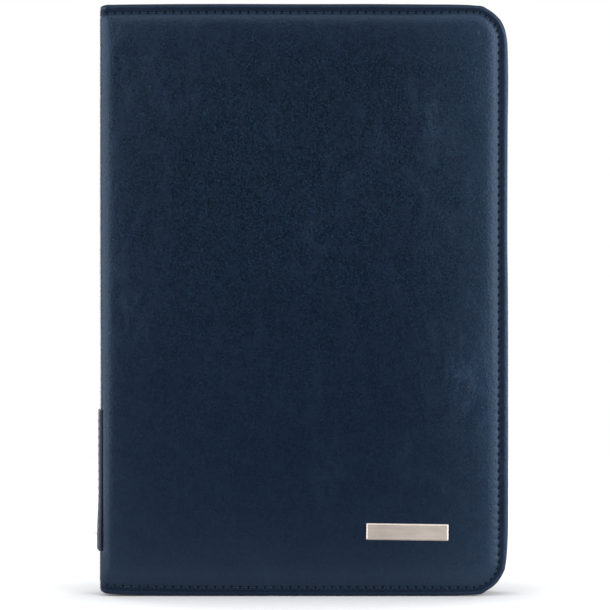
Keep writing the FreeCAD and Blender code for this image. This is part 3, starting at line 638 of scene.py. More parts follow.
def fold_rise(u):
    """How much of the crown is there at u: it starts inside the fold and goes on rising gently."""
    a = np.clip((u - U_FOLD) / (FOLD_R - U_FOLD), 0, 1)
    start = 0.245 * (FOLD_R - U_FOLD) * (a ** 3 - a ** 4 / 2)
    v = np.maximum(u - FOLD_R, 0)
    return (start + 0.36 * (1 - np.exp(-v / 1.8)) + 0.23 * (1 - np.exp(-v / 6.0))) / 1.206


def front_top(u, z, d, ph):
    t = np.clip((d - HEM) / 8.0, 0, 1)
    tail = np.clip((d - HEM) / 22.0, 0, 1)
    rise = 0.62 * (1 - (1 - t) ** 3) + 0.38 * (1 - (1 - tail) ** 2.6)
    calm = 1 - np.exp(-(((u - BADGE[0]) / 30) ** 2 + ((z - BADGE[1]) / 16) ** 2) ** 2)
    pillow = 0.42 * np.clip(1 - np.abs((u - 90) / 95.0) ** 3, 0, 1) * np.clip(1 - np.abs((z - 134) / 136.0) ** 3, 0, 1)
    wave = 0.10 * vnoise(u + 7, z, 37, 11) + 0.06 * vnoise(u, z + 3, 15, 12) + 0.025 * vnoise(u, z, 6, 13)
    hem = 0.05 * vnoise(u + z, d, 9, 14) * np.exp(-((d - 2.2) / 1.5) ** 2)
    sag = -0.24 * np.exp(-((z - 84) / 62.0) ** 2) * sstep((3.0 - u) / 4.0)
    full = 0.25 * sstep((2.6 - u) / 4.0)
    press = -0.30 * np.exp(-((u - 1.40) / 0.42) ** 2) * sstep((z - 20.0) / 1.6) * sstep((84.8 - z) / 1.6)
    return (CROWN + (pillow + wave * 0.9) * calm) * rise * fold_rise(u) + hem_detail(u, z, d, ph, 0.30) + hem + sag + full + press


def back_top(u, z, d, ph):
    wave = -0.035 * (1 + vnoise(u, z, 31, 21)) - 0.02 * (1 + vnoise(u, z, 11, 22))
    far = sstep((d - HEM) / 5)
    return wave * far + hem_detail(u, z, d, ph, 0.24) + 0.03 * vnoise(u + z, d, 9, 24) * np.exp(-((d - 2.2) / 1.5) ** 2)


SKIN_RINGS = [12.4, 10.8, 9.4, 8.3, 7.4, 6.7, 6.1, 5.6, 5.2, 4.85, 4.55, 4.3, 4.1, 3.9, 3.7, 3.5, 3.25, 2.95, 2.6, 2.2, 1.9, 1.6]
SKIN_RIM = [(1.25, 0.006), (0.9, 0.024), (0.6, 0.055), (0.35, 0.10), (0.16, 0.165), (0.05, 0.24), (0.0, 0.33), (0.0, 0.44), (0.0, 0.56), (0.0, 0.67), (0.05, 0.77), (0.17, 0.86), (0.36, 0.93), (0.62, 0.975), (0.95, 0.998), (1.25, 1.0), (1.42, 0.965), (1.46, 0.86)]


BOTTOM = crom([(U_MID, 2.6), (-6, 2.6), (-2.2, 2.5), (-0.2, 2.05), (1.5, 1.5), (3, 1.18), (5, 1.0), (9, 0.78), (14, 0.58), (32, 0.28), (50, 0.18), (68, 0.11), (86, 0.05), (104, 0.0), (122, 0.0), (140, 0.07), (168, 0.0)])
HEAD = crom([(U_MID, 1.45), (-6, 1.45), (-2.2, 1.4), (-0.2, 1.15), (1.5, 0.85), (3, 0.62), (5, 0.52), (9, 0.42), (14, 0.35), (32, 0.2), (50, 0.14), (68, 0.15), (86, 0.2), (104, 0.2), (122, 0.16), (140, 0.25), (168, 0.0)])


def edge_bottom(u):
    return np.interp(u, BOTTOM[:, 0], BOTTOM[:, 1])


def edge_top(u):
    return np.interp(u, HEAD[:, 0], HEAD[:, 1])


# the fore corners of the front cover, as they are: each has blunt turns where the hem was folded in
u = np.linspace(U_MID, 140.0, 300)
front_bottom = np.vstack([np.stack([u, edge_bottom(u)], 1)[:-1], run([(140.0, 0.07), (150.0, 0.14), (158.0, 0.22), (164.0, 0.36), (168.0, 0.48), (172.0, 0.74)], [(172.0, 0.74), (173.1, 1.1), (174.6, 2.15), (176.0, 3.05), (177.4, 3.95), (178.7, 5.05), (180.05, 6.45)])])
front_right = run([(180.05, 6.45), (181.45, 8.5), (182.8, 11.1), (183.3, 12.3)], [(183.3, 12.3), (183.45, 13.5), (183.9, 16.3), (184.2, 19.3), (184.6, 27.0), (184.75, 36.0), (184.75, 90.0), (184.72, 125.0), (184.62, 143.0), (184.44, 160.0), (184.47, 180.0), (184.6, 213.0), (184.8, 231.0), (184.68, 243.0), (184.3, 251.3), (183.2, 256.7), (181.45, 260.25), (180.05, 261.9)])
ut = u[::-1]
front_head = np.vstack([run([(180.05, 261.9), (178.7, 263.22), (177.3, 264.33), (175.9, 265.27), (174.5, 266.08), (173.7, 266.6)], [(173.7, 266.6), (172.6, 266.95), (170.3, 267.12), (167.6, 267.36), (160.0, 267.6), (150.0, 267.66), (140.0, 267.75)]), np.stack([ut, H - edge_top(ut)], 1)[1:]])
plain = u_sides(U_MID, W, 0.0, H, 16.3, edge_bottom, edge_top)

front_sheet = Sheet("front_leather_skin", LEATHER, (front_bottom, front_right, front_head), plain, RUNS, leather_base(True), front_top, leather_thick, SKIN_RINGS, SKIN_RIM)
back_sheet = Sheet("back_leather_skin", LEATHER, plain, plain, RUNS, leather_base(False), back_top, leather_thick, SKIN_RINGS, SKIN_RIM)
front_stitch = front_sheet.stitches("front_hem_stitches", THREAD, HEM, seed=5, lift=0.06, gap=0.50)
back_stitch = back_sheet.stitches("back_hem_stitches", THREAD, HEM, seed=6)

# painted shade: the hem beside the stitches and the inside of each needle hole get a darker, duller leather
for sheet in (front_sheet, back_sheet):
    idx = np.zeros(len(sheet.obj.data.polygons), dtype=np.int32)
    for first, d0, d1, f in sheet.bands:
        if f:
            continue
        if d0 <= 3.71 and d1 >= 1.89:
            idx[first:first + sheet.n] = 1
        elif d0 <= 4.11 and d1 >= 3.69:
            k = np.arange(sheet.n)
            idx[first + k[(k % sheet.fine == 0) | (k % sheet.fine == sheet.fine - 1)]] = 1
    sheet.obj.data.materials.append(LEATHER_HEM_SHADE)
    sheet.obj.data.polygons.foreach_set("material_index", idx)

for ob in (front_sheet.obj, front_stitch):
    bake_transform(ob)
for ob in (back_sheet.obj, back_stitch):
    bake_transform(ob)
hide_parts("front_leather", "spine_leather")
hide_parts("back_leather")

# ------------------------------------------------------------------ suede linings, over the boards and down into the gutter at each fold


def fillet(pts, r, n=6):
    """A path of straight runs with round corners of radius about r."""
    p = [np.asarray(q, float) for q in pts]
    out = [p[0]]
    for a, b, c in zip(p, p[1:], p[2:]):
        e0, e1 = (a - b) / np.linalg.norm(a - b), (c - b) / np.linalg.norm(c - b)
        s, e = b + e0 * r, b + e1 * r
        t = np.linspace(0, 1, n + 1)[:, None]
        out += list((1 - t) ** 2 * s + 2 * t * (1 - t) * b + t ** 2 * e)
    out.append(p[-1])
    return np.array(out)


LINE_Y = 4.0
gut = fillet([(40.0, LINE_Y), (4.45, LINE_Y), (4.45, 2.0), (2.0, 2.0), (2.0, 4.45), (LINE_Y, 4.45), (LINE_Y, T / 2)], 0.62)
gut_s = np.concatenate([[0], np.cumsum(np.hypot(*np.diff(gut, axis=0).T))])
gut_u = 40.0 - gut_s
LINE_END = float(gut_u[-1])
gt = np.gradient(gut, axis=0)
gt /= np.linalg.norm(gt, axis=1)[:, None]
gut_n = np.stack([gt[:, 1], -gt[:, 0]], 1)


def lining_base(front):
    def place(u, z, h):
        u, z, h = np.broadcast_arrays(*(np.asarray(q, float) for q in (u, z, h)))
        iu = lambda f: np.interp(u, gut_u[::-1], f[::-1])
        x = np.where(u >= 40.0, u, iu(gut[:, 0]) + iu(gut_n[:, 0]) * h)
        y = np.where(u >= 40.0, LINE_Y + h, iu(gut[:, 1]) + iu(gut_n[:, 1]) * h)
        return np.stack([x, y if front else T - y, z], -1)
    return place


def lining_top(seed):
    def top(u, z, d, ph):
        e = np.clip(d / 0.9, 0, 1)
        edge = -0.42 * (1 - np.sqrt(1 - (1 - e) ** 2))
        seam = -0.22 * np.exp(-((d - 2.5) / 0.7) ** 2)
        near = np.minimum(ph, 1 - ph) * 3.77
        hole = -0.18 * np.exp(-(near ** 2 + (d - 2.5) ** 2) / 0.5 ** 2)
        wave = -0.03 * (1 + vnoise(u, z, 23, seed))
        return edge + seam + hole + wave * sstep(d / 5)
    return top


LINE_RINGS = [10.5, 8.6, 7.0, 5.8, 4.8, 4.0, 3.4, 3.0, 2.7, 2.5, 2.3, 2.0, 1.6, 1.2, 0.85, 0.55, 0.3, 0.12, 0.0]
line_plain = u_sides(LINE_END, W - 1.38, 1.38, H - 1.38, 14.92, edge_bottom, edge_top)
for front, name, seed in ((True, "front_lining_suede", 31), (False, "back_lining_suede", 32)):
    sheet = Sheet(name, SUEDE, line_plain, line_plain, RUNS, lining_base(front), lining_top(seed), lambda u: 0 * u, LINE_RINGS, [], fine=4, step=2, dense=6.0)
    seam = sheet.stitches(name.replace("suede", "stitches"), THREAD_IN, 2.5, seed=seed, lift=0.12, r=0.24, sides=6, m=9)
    for ob in (sheet.obj, seam):
        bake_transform(ob)
    area = sum(p.area for p in sheet.obj.data.polygons)
    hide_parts(*(("front_lining", "spine_lining") if front else ("back_lining",)))

# ------------------------------------------------------------------ pen loop on the spine
LZ0, LZ1, LY1 = 20.5, 84.3, 22.0
L_IN, L_OUT = 1.0, U_FOLD - (LY1 - FOLD_R)      # unrolled: the front foot reaches round onto the fold
L_PITCH = 3.8
L_SEW = (-1.35, L_OUT + 2.0)
spine_place = leather_base(True)


def loop_low(z):
    return sstep((47 - z) / 20.0)


def loop_out(u, z):
    """Height of the strap over the spine: flat sewn feet, and a low tunnel between them."""
    y = FOLD_R + (U_FOLD - u)
    foot = 0.62 + 0.42 * loop_low(z)
    rise = sstep((y - 7.0) / 3.2) * sstep((LY1 - 2.6 - y) / 3.2)
    return foot + (1.32 + 0.60 * loop_low(z) - foot) * rise, rise


def loop_mesh():
    nu, long = 72, LZ1 - LZ0
    zs = np.concatenate([[0, 0.1, 0.28, 0.5, 0.8], np.linspace(1.2, long - 1.2, 132), long - np.array([0.8, 0.5, 0.28, 0.1, 0])])
    u = L_IN + (L_OUT - L_IN) * (1 - np.cos(np.linspace(0, np.pi, nu))) / 2
    outer, inner = [], []
    for q in zs:
        z = LZ0 + q
        end = min(q, long - q)
        out, rise = loop_out(u, z)
        out = out + 0.04 * vnoise(u * 2, z + 0 * u, 6, 41)
        for su in L_SEW:
            ph = (q / L_PITCH) % 1.0
            near = min(ph, 1 - ph) * L_PITCH
            out = out - 0.14 * np.exp(-((u - su) / 0.5) ** 2) - 0.30 * np.exp(-((u - su) / 0.36) ** 2 - (near / 0.5) ** 2)
        e = np.minimum(L_IN - u, u - L_OUT)
        out = out - 0.34 * (1 - np.sqrt(1 - (1 - np.clip(e / 0.4, 0, 1)) ** 2))
        out = out - 0.34 * (1 - math.sqrt(1 - (1 - min(end / 0.5, 1.0)) ** 2))
        inn = np.where(rise > 0.02, np.maximum(out - 0.85, 0.0), 0.0) - 0.06
        outer.append(spine_place(u, np.full(nu, z), out))
        inner.append(spine_place(u, np.full(nu, z), inn))
    nz = len(zs)
    v = np.vstack(outer + inner)
    o, i = (lambda a, b: a * nu + b), (lambda a, b: nz * nu + a * nu + b)
    e = np.minimum(L_IN - u, u - L_OUT)
    rim = (e[:-1] + e[1:]) / 2 < 0.30
    f, dark_edge_faces = [], []
    for a in range(nz - 1):
        for b in range(nu - 1):
            f.append([o(a, b), o(a + 1, b), o(a + 1, b + 1), o(a, b + 1)])
            f.append([i(a, b), i(a, b + 1), i(a + 1, b + 1), i(a + 1, b)])
            dark_edge_faces += [int(rim[b]), 0]
        f.append([o(a, 0), i(a, 0), i(a + 1, 0), o(a + 1, 0)])
        f.append([o(a, nu - 1), o(a + 1, nu - 1), i(a + 1, nu - 1), i(a, nu - 1)])
        dark_edge_faces += [1, 1]
    for b in range(nu - 1):
        f.append([o(0, b), o(0, b + 1), i(0, b + 1), i(0, b)])
        f.append([o(nz - 1, b), i(nz - 1, b), i(nz - 1, b + 1), o(nz - 1, b + 1)])
        dark_edge_faces += [1, 1]
    return v, f, dark_edge_faces


v, f, dark_edge_faces = loop_mesh()
loop = make("pen_loop_leather", v, f, LEATHER_LOOP)
loop.data.materials.append(DARK_CUT_EDGE)      # the strap's cut edges get a dark material
loop.data.polygons.foreach_set("material_index", dark_edge_faces)
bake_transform(loop)
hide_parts("pen_loop")
vs, fs = [], []
for su in L_SEW:
    zz = np.arange(LZ0, LZ1 + 0.01, L_PITCH)[:-1] if su == L_SEW[1] else np.arange(LZ0, LZ1 - 1.0, L_PITCH)
    t = np.linspace(0.20, 0.80, 9)
    z = (zz[:-1, None] + L_PITCH * t[None, :]).ravel()
    k = np.tile(np.sin(np.pi * np.linspace(0, 1, 9)) ** 0.45, len(zz) - 1)
    uu = np.full(len(z), su) + 0.12 * np.tile(np.linspace(-1, 1, 9), len(zz) - 1)
    h = loop_out(uu, z)[0] - 0.14 - 0.34 + 0.56 * k
    pts = spine_place(uu, z, h).reshape(len(zz) - 1, 9, 3)
    ups = pts - spine_place(uu, z, h - 1).reshape(len(zz) - 1, 9, 3)
    v, f = tubes(pts, ups, 0.25, 7)
    fs += [[i + sum(len(a) for a in vs) for i in g] for g in f]
    vs.append(v)
# one loose thread end near the foot of the loop
tail = crom([(-0.75, 3.6, 27.6), (-1.35, 2.7, 28.0), (-1.9, 2.1, 28.6), (-2.35, 1.8, 28.7), (-2.6, 1.6, 28.4)], 5)
v, f = tubes(tail[None], np.tile([0.0, -0.4, 1.0], (1, len(tail), 1)), 0.15, 6)
fs += [[i + sum(len(a) for a in vs) for i in g] for g in f]
vs.append(v)
loop_thread = make("pen_loop_stitches", np.vstack(vs), fs, THREAD_LOOP)
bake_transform(loop_thread)

# ------------------------------------------------------------------ corner elastics
TX0, TX1, TZ0, TZ1 = 7.0, 179.0, 8.0, 260.0
EY, NEAR, FAR, ET = 12.4, 30.0, 46.0, 0.8


def elastic(sx, sz):
    X = (lambda d: TX1 + 0.6 - d) if sx else (lambda d: TX0 - 0.6 + d)
    Zf = (lambda d: TZ1 + 0.6 - d) if sz else (lambda d: TZ0 - 0.6 + d)
    nv = 15
    rows = []
    for k in range(nv):
        w = NEAR + (FAR - NEAR) * k / (nv - 1)
        mid = (NEAR + FAR) / 2
        a = np.array([X(w), 23.3, Zf(-ET / 2)])
        b = np.array([X(w), EY, Zf(-ET / 2)])
        c = np.array([X(-ET / 2), EY, Zf(w)])
        e = np.array([X(-ET / 2), 23.3, Zf(w)])
        r = 1.3
        t = np.linspace(0, 1, 7)[:, None]
        dia = (c - b) / np.linalg.norm(c - b)
        up = np.array([0, -1.0, 0])
        leg1 = a + (b - up * r - a) * np.linspace(0, 1, 9)[:, None]
        f1 = (1 - t) ** 2 * (b - up * r) + 2 * t * (1 - t) * b + t ** 2 * (b + dia * r)
        tt = np.linspace(0, 1, 30)[:, None]
        span = (b + dia * r) * (1 - tt) + (c - dia * r) * tt
        waist = np.array([X(0) - X(1), 0, Zf(0) - Zf(1)]) / math.sqrt(2)      # towards the corner
        span = span + waist * ((w - mid) / (FAR - mid)) * 0.7 * np.sin(np.pi * tt)
        f2 = (1 - t) ** 2 * (c - dia * r) + 2 * t * (1 - t) * c + t ** 2 * (c - up * r)
        leg2 = (c - up * r) + (e - (c - up * r)) * np.linspace(0, 1, 9)[:, None]
        rows.append(np.vstack([leg1, f1[1:], span[1:], f2[1:], leg2[1:]]))
    g = np.array(rows)
    du, dv = np.gradient(g, axis=1), np.gradient(g, axis=0)
    n = np.cross(du, dv)
    n /= np.linalg.norm(n, axis=2)[..., None]
    return thick_grid(g, n, ET, dv)


def thick_grid(g, n, t, across):
    """A closed band of thickness t about the surface g, with rounded long edges."""
    a, b, _ = g.shape
    edge = across / np.linalg.norm(across, axis=2)[..., None]
    prof = np.full(a, t / 2)
    prof[0] = prof[-1] = t * 0.30
    prof[1] = prof[-2] = t * 0.46
    up, dn = g + n * prof[:, None, None], g - n * prof[:, None, None]
    side0, side1 = g[0] - edge[0] * t * 0.25, g[-1] + edge[-1] * t * 0.25
    v = np.vstack([up.reshape(-1, 3), dn.reshape(-1, 3), side0, side1])
    U, D, S0, S1 = (lambda i, j: i * b + j), (lambda i, j: a * b + i * b + j), (lambda j: 2 * a * b + j), (lambda j: 2 * a * b + b + j)
    f = []
    for j in range(b - 1):
        for i in range(a - 1):
            f.append([U(i, j), U(i, j + 1), U(i + 1, j + 1), U(i + 1, j)])
            f.append([D(i, j), D(i + 1, j), D(i + 1, j + 1), D(i, j + 1)])
        f.append([U(0, j), S0(j), S0(j + 1), U(0, j + 1)])
        f.append([S0(j), D(0, j), D(0, j + 1), S0(j + 1)])
        f.append([U(a - 1, j), U(a - 1, j + 1), S1(j + 1), S1(j)])
        f.append([S1(j), S1(j + 1), D(a - 1, j + 1), D(a - 1, j)])
    for j in (0, b - 1):
        ring = [U(i, j) for i in range(a)] + [S1(j)] + [D(i, j) for i in range(a - 1, -1, -1)] + [S0(j)]
        f.append(ring if j == 0 else ring[::-1])
    return v, f


vs, fs = [], []
for sx in (0, 1):
    for sz in (0, 1):
        v, f = elastic(sx, sz)
        fs += [[i + sum(len(a) for a in vs) for i in (g if sx == sz else g[::-1])] for g in f]
        vs.append(v)
bands = make("corner_elastic_bands", np.vstack(vs), fs, ELASTIC)
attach(bands, "back_cover")
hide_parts("corner_elastics")

# ------------------------------------------------------------------ stand flap on the back
SX0, SXH, SXS, SZ0, SZ1 = 40.0, 127.8, 142.0, 74.0, 194.0


def stand_base(u, z, h):
    u, z, h = np.broadcast_arrays(*(np.asarray(q, float) for q in (u, z, h)))
    return np.stack([SXS - u, T + h, z], -1)


def stand_level(u):
    x = SXS - u
    strip = 1.0 * np.sqrt(1 - (1 - np.clip(u / 0.9, 0, 1)) ** 2)
    tongue = 1.2 + 1.9 * sstep((124.6 - x) / 3.6)
    return np.where(x > 128.3, strip, np.where(x > 127.3, 1.0 + 0.2 * (128.3 - x), tongue))


def stand_thick(u):
    x = SXS - u
    return np.where(x > 127.3, np.minimum(1.0, stand_level(u)), 1.0 + 1.9 * sstep((124.6 - x) / 3.6))


ST_PITCH = 3.2


def stand_top(u, z, d, ph):
    x = SXS - u
    t = stand_level(u)
    on = sstep((x - 41) / 3) * 0 + 1
    groove = -0.30 * np.exp(-((d - 2.4) / 0.6) ** 2) * (u > 0.8)
    near = np.minimum(ph, 1 - ph) * ST_PITCH
    hole = -0.25 * np.exp(-(near ** 2 + (d - 2.4) ** 2) / 0.42 ** 2) * (u > 0.8)
    sewn = 0.0
    for sx in (130.8, 139.6):
        sewn = sewn - 0.18 * np.exp(-((x - sx) / 0.5) ** 2)
    hinge = -0.22 * np.exp(-((x - 127.8) / 0.9) ** 2)
    wave = -0.05 * (1 + vnoise(u, z, 21, 51)) * sstep((d - 2.4) / 4) * (x < 123)
    return t + on * (groove + hole) + sewn + hinge + wave


STAND_RINGS = [7.2, 6.2, 5.3, 4.6, 4.0, 3.5, 3.1, 2.8, 2.6, 2.4, 2.2, 2.0, 1.7, 1.4, 1.1]
STAND_RIM = [(0.8, 0.012), (0.55, 0.04), (0.33, 0.09), (0.16, 0.16), (0.05, 0.25), (0.0, 0.36), (0.0, 0.5), (0.0, 0.64), (0.05, 0.76), (0.16, 0.87), (0.34, 0.95), (0.6, 0.99), (0.95, 1.0), (1.12, 0.97)]
stand_plain = u_sides(0.0, SXS - SX0, SZ0, SZ1, 8.0)
stand = Sheet("stand_flap_leather", LEATHER, stand_plain, stand_plain, (31, 36), stand_base, stand_top, stand_thick, STAND_RINGS, STAND_RIM, fine=8, step=4, dense=24.0, crest=1.1)
stand_st = stand.stitches("stand_flap_stitches", THREAD, 2.4, seed=8, lift=0.14, r=0.24, sides=6, m=9)
vs, fs = [], []
for sx in (130.8, 139.6):
    zz = np.arange(SZ0 + 2.4, SZ1 - 2.0, ST_PITCH)
    hz = np.stack([np.full(len(zz), sx), np.full(len(zz), T + 0.86), zz], 1)
    v, f = line_stitches("", None, hz, np.tile([0, 1.0, 0], (len(zz), 1)), side=(1, 0, 0), lift=0.2, r=0.24)
    fs += [[i + sum(len(a) for a in vs) for i in g] for g in f]
    vs.append(v)
strip_st = make("stand_strip_stitches", np.vstack(vs), fs, THREAD)
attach(strip_st, "back_cover")
for ob in (stand.obj, stand_st):
    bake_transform(ob)
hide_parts("stand_leather", "stand_hinge_strip")


def under_base(u, z, h):
    u, z, h = np.broadcast_arrays(*(np.asarray(q, float) for q in (u, z, h)))
    return np.stack([127.1 - u, T + 0.2 - h, z], -1)


under_plain = u_sides(0.0, 127.1 - SX0 - 1.0, SZ0 + 1.0, SZ1 - 1.0, 7.0)
under = Sheet("stand_lining_suede", SUEDE, under_plain, under_plain, (27, 36), under_base,
              lambda u, z, d, ph: -0.35 * (1 - np.sqrt(1 - (1 - np.clip(d / 0.8, 0, 1)) ** 2)) - 0.16 * np.exp(-((d - 1.4) / 0.5) ** 2) - 0.02 * (1 + vnoise(u, z, 17, 61)),
              lambda u: 0 * u, [6.0, 5.0, 4.1, 3.4, 2.8, 2.3, 1.9, 1.6, 1.4, 1.2, 0.9, 0.65, 0.4, 0.2, 0.06, 0.0], [], fine=4, step=2, dense=1.0)
under_st = under.stitches("stand_lining_stitches", THREAD_IN, 1.4, seed=9, lift=0.10, r=0.22, sides=6, m=9)
for ob in (under.obj, under_st):
    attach(ob, "stand_flap")
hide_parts("stand_lining")

# ------------------------------------------------------------------ finishes of the CAD pieces that stay
FINISH = {
    "badge_plate": BADGE_MAT,
    "badge_backer": STEEL, "closing_keepers": STEEL, "stand_keeper": STEEL, "key_backplate": STEEL, "keyboard_screws": STEEL, "usb_socket": STEEL,
    "closing_magnets": NICKEL, "stand_magnet": NICKEL,
    "front_board": BOARD, "spine_board": BOARD, "back_board": BOARD, "stand_board": BOARD,
    "front_foam": FOAM, "keyboard_tape": TAPE, "key_membrane": FILM, "key_domes": RUBBER,
    "keyboard_pcb": PCB, "keyboard_battery": FOIL, "indicator_lenses": LENS,
    "keyboard_base": SHELL, "keyboard_top": SHELL, "power_slider": SWITCH, "connect_button": SWITCH,
}
for name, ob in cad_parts.items():
    mat = FINISH.get(name) or (KEYCAP if name.startswith("key") else None)
    if mat is None:
        continue
    if not isinstance(ob, bpy.types.Object):
        ob = bpy.data.objects[name]
    if len(ob.material_slots) == 0:
        ob.data.materials.append(mat)
    for slot in ob.material_slots:
        slot.material = mat

# ------------------------------------------------------------------ key legends: plain printed characters, one object for each key body
KB_X0, KB_Z1, CAP_Y = 44.0, 258.0, 11.1
U, ROW, FN, REAR = 16.0, 15.4, 10.0, 18.0
LAYOUT = [
    [("key_escape", 1, "esc")] + [("keys_function_row", 1, "F%d" % k) for k in range(1, 13)] + [("keys_function_row", 1, "prt")] + [("key_delete", 1, "del")],
    [("keys_number_row", 1, c) for c in "`1234567890-="] + [("key_backspace", 2, "back")],
    [("key_tab", 1.5, "tab")] + [("keys_upper_letter_row", 1, c) for c in "QWERTYUIOP[]"] + [("keys_upper_letter_row", 1.5, "\\")],
    [("key_caps_lock", 1.75, "caps")] + [("keys_home_letter_row", 1, c) for c in "ASDFGHJKL;'"] + [("key_enter", 2.25, "enter")],
    [("key_shift_left", 2.25, "shift")] + [("keys_lower_letter_row", 1, c) for c in "ZXCVBNM,./"] + [("key_shift_right", 1.75, "shift"), ("key_arrow_up", 1, "up")],
    [("key_control", 1.25, "ctrl"), ("key_function", 1, "fn"), ("key_menu", 1.25, "menu"), ("key_alt", 1.25, "alt"), ("key_space", 5.25, ""), ("key_alt_right", 1, "alt"), ("key_control_right", 1, "ctrl"), ("key_arrow_left", 1, "left"), ("key_arrow_down", 1, "down"), ("key_arrow_right", 1, "right")],
]


def glyphs(text, size):
    cu = bpy.data.curves.new("legend", "FONT")
    cu.body, cu.size, cu.align_x, cu.align_y = text, size, "CENTER", "CENTER"
    cu.resolution_u = 3
    ob = link(bpy.data.objects.new("legend", cu))
    me = bpy.data.meshes.new_from_object(ob)
    v = np.array([p.co[:2] for p in me.vertices]).reshape(-1, 2)
    f = [list(p.vertices) for p in me.polygons]
    bpy.data.objects.remove(ob)
    bpy.data.curves.remove(cu)
    bpy.data.meshes.remove(me)
    return v, f


def arrow(direction):
    v = np.array([(-1.3, -0.9), (1.3, -0.9), (0.0, 1.2)])
    a = {"up": 0, "left": 90, "down": 180, "right": -90}[direction]
    c, s = math.cos(math.radians(a)), math.sin(math.radians(a))
    return v @ np.array([[c, s], [-s, c]]), [[0, 1, 2]]


marks = {}
x = KB_X0 + REAR
for n, row in enumerate(LAYOUT):
    pitch = FN if n == 0 else ROW
    z = KB_Z1 - 4.0
    for node, units, text in row:
        cx, cz = x + pitch / 2, z - units * U / 2
        z -= units * U
        if not text:
            continue
        if text in ("up", "left", "down", "right"):
            v, f = arrow(text)
        else:
            v, f = glyphs(text, 4.6 if len(text) == 1 else (2.9 if n else 2.6))
            if len(text) == 1 and n:
                v = v + np.array([-2.4, 2.2])
        # typed right is -z, typed up is -x, the print lies on the cap
        pts = np.stack([cx - v[:, 1], np.full(len(v), CAP_Y + 0.015), cz - v[:, 0]], 1)
        marks.setdefault(node, []).append((pts, f))
    x += pitch
for node, items in marks.items():
    vs, fs, o = [], [], 0
    for v, f in items:
        vs.append(v)
        fs += [[i + o for i in g] for g in f]
        o += len(v)
    ob = make(node + "_print", np.vstack(vs), fs, LEGEND, smooth=False)
    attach(ob, node + "_body")

# ------------------------------------------------------------------ stage, light, camera
floor_m = Mat("pale_floor")
fsep = floor_m.n("ShaderNodeSeparateXYZ")
floor_m.link(floor_m.co, fsep.inputs[0])
# painted contact shadow: the floor colour darkens to 0.72 at the case's footprint and fades out over 75 mm
contact_shadow_reach = [floor_m.math("MAXIMUM", floor_m.math("SUBTRACT", floor_m.math("ABSOLUTE", fsep.outputs[a]), e), 0.0) for a, e in (("X", 0.088), ("Y", 0.012))]
contact_shadow_reach = floor_m.math("SQRT", floor_m.math("ADD", floor_m.math("MULTIPLY", contact_shadow_reach[0], contact_shadow_reach[0]), floor_m.math("MULTIPLY", contact_shadow_reach[1], contact_shadow_reach[1])))
tone = floor_m.ramp(floor_m.noise(3, 3, 0.5), [(0.3, (0.675, 0.685, 0.70)), (0.7, (0.70, 0.71, 0.725))])
floor_m.color(floor_m.mix(1.0, tone, floor_m.span(contact_shadow_reach, 0.0, 0.075, 0.72, 1.0), "MULTIPLY"))
floor_m.set(Roughness=0.75, Specular_IOR_Level=0.2)
me = bpy.data.meshes.new("floor")
ring = [(0.72 * math.cos(k * math.pi / 48), 0.48 + 0.68 * math.sin(k * math.pi / 48), 0.0) for k in range(96)]
me.from_pydata(ring, [], [tuple(range(96))])
me.materials.append(floor_m.m)
link(bpy.data.objects.new("floor", me))

scene = bpy.context.scene
scene.view_settings.view_transform = "Standard"
scene.view_settings.look = "None"
scene.view_settings.exposure = 0.0
world = bpy.data.worlds.new("studio")
scene.world = world
world.use_nodes = True
wt = world.node_tree
bg = wt.nodes["Background"]
bg.inputs["Color"].default_value = (1.0, 1.0, 1.0, 1.0)
# a light tent that is open, so dark, in front of and behind the case; the backdrop itself is white
tc, sep, ab, mr = (wt.nodes.new(k) for k in ("ShaderNodeTexCoord", "ShaderNodeSeparateXYZ", "ShaderNodeMath", "ShaderNodeMapRange"))
ab.operation = "ABSOLUTE"
mr.interpolation_type = "SMOOTHSTEP"
for k, v in (("From Min", 0.995), ("From Max", 0.72), ("To Min", 0.02), ("To Max", 2.0)):
    mr.inputs[k].default_value = v
lp, mx = wt.nodes.new("ShaderNodeLightPath"), wt.nodes.new("ShaderNodeMix")
mx.inputs[3].default_value = 1.0
wt.links.new(tc.outputs["Generated"], sep.inputs[0])
wt.links.new(sep.outputs["Y"], ab.inputs[0])
wt.links.new(ab.outputs[0], mr.inputs["Value"])
wt.links.new(lp.outputs["Is Camera Ray"], mx.inputs[0])
dim, mul = wt.nodes.new("ShaderNodeMapRange"), wt.nodes.new("ShaderNodeMath")
dim.interpolation_type = "SMOOTHSTEP"
mul.operation = "MULTIPLY"
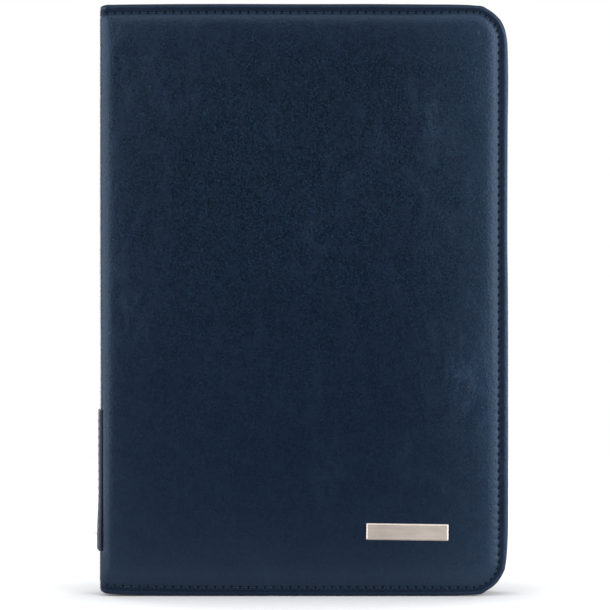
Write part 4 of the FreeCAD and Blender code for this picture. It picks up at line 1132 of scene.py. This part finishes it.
for k, v in (("From Min", 0.62), ("From Max", 0.25), ("To Min", 1.0), ("To Max", 0.45)):
    dim.inputs[k].default_value = v
wt.links.new(ab.outputs[0], dim.inputs["Value"])
wt.links.new(mr.outputs["Result"], mul.inputs[0])
wt.links.new(dim.outputs["Result"], mul.inputs[1])
wt.links.new(mul.outputs[0], mx.inputs[2])
wt.links.new(mx.outputs[0], bg.inputs["Strength"])


def area(name, loc, target, size, power, color=(1, 1, 1)):
    li = bpy.data.lights.new(name, "AREA")
    li.shape, li.size, li.size_y, li.energy, li.color = "RECTANGLE", size[0], size[1], power, color
    ob = link(bpy.data.objects.new(name, li))
    ob.location = loc
    d = np.array(target) - np.array(loc)
    yaw, pitch = math.atan2(d[0], d[1]), math.atan2(d[2], math.hypot(d[0], d[1]))
    ob.rotation_euler = (math.pi / 2 + pitch, 0, -yaw)
    return ob


for k, power, z in ((-1, 8.0, 0.33), (1, 10.8, 0.38)):
    area("soft_front_%d" % (k + 2), (0.72 * k, -1.12, z), (0, 0, 0.13), (0.42, 0.9), power)
    area("soft_side_%d" % (k + 2), (1.22 * k, -0.44, 0.24), (0, 0, 0.13), (1.10, 0.9), 15.5 if k < 0 else 16)
    area("soft_rear_%d" % (k + 2), (0.86 * k, 1.0, 0.24), (0, 0, 0.13), (0.60, 0.9), 8)
area("soft_top", (0, -1.05, 0.85), (0, 0, 0.20), (1.0, 0.4), 3.2)
area("soft_low", (0, -1.0, 0.0), (0, 0, 0.05), (1.0, 0.12), 0.15)
area("soft_low_left", (-0.20, -1.0, 0.0), (-0.06, 0, 0.05), (0.30, 0.14), 0.075)

# The photograph is taken straight on: its middle is 92.8 mm from the spine face and 131.6 mm above the floor.
cam = bpy.data.cameras.new("camera")
cam.sensor_width = 36.0
DIST = 1.3
cam.lens = 36.0 * DIST / (610 * 0.4527e-3) * 1.002
cam.clip_start, cam.clip_end = 0.01, 50
co = link(bpy.data.objects.new("camera", cam))
co.location = (float(M((92.8, 0, 0))[0]), float(M((0, 0, 0))[1]) - DIST, 0.13165)
co.rotation_euler = (math.pi / 2, 0, 0)
scene.camera = co
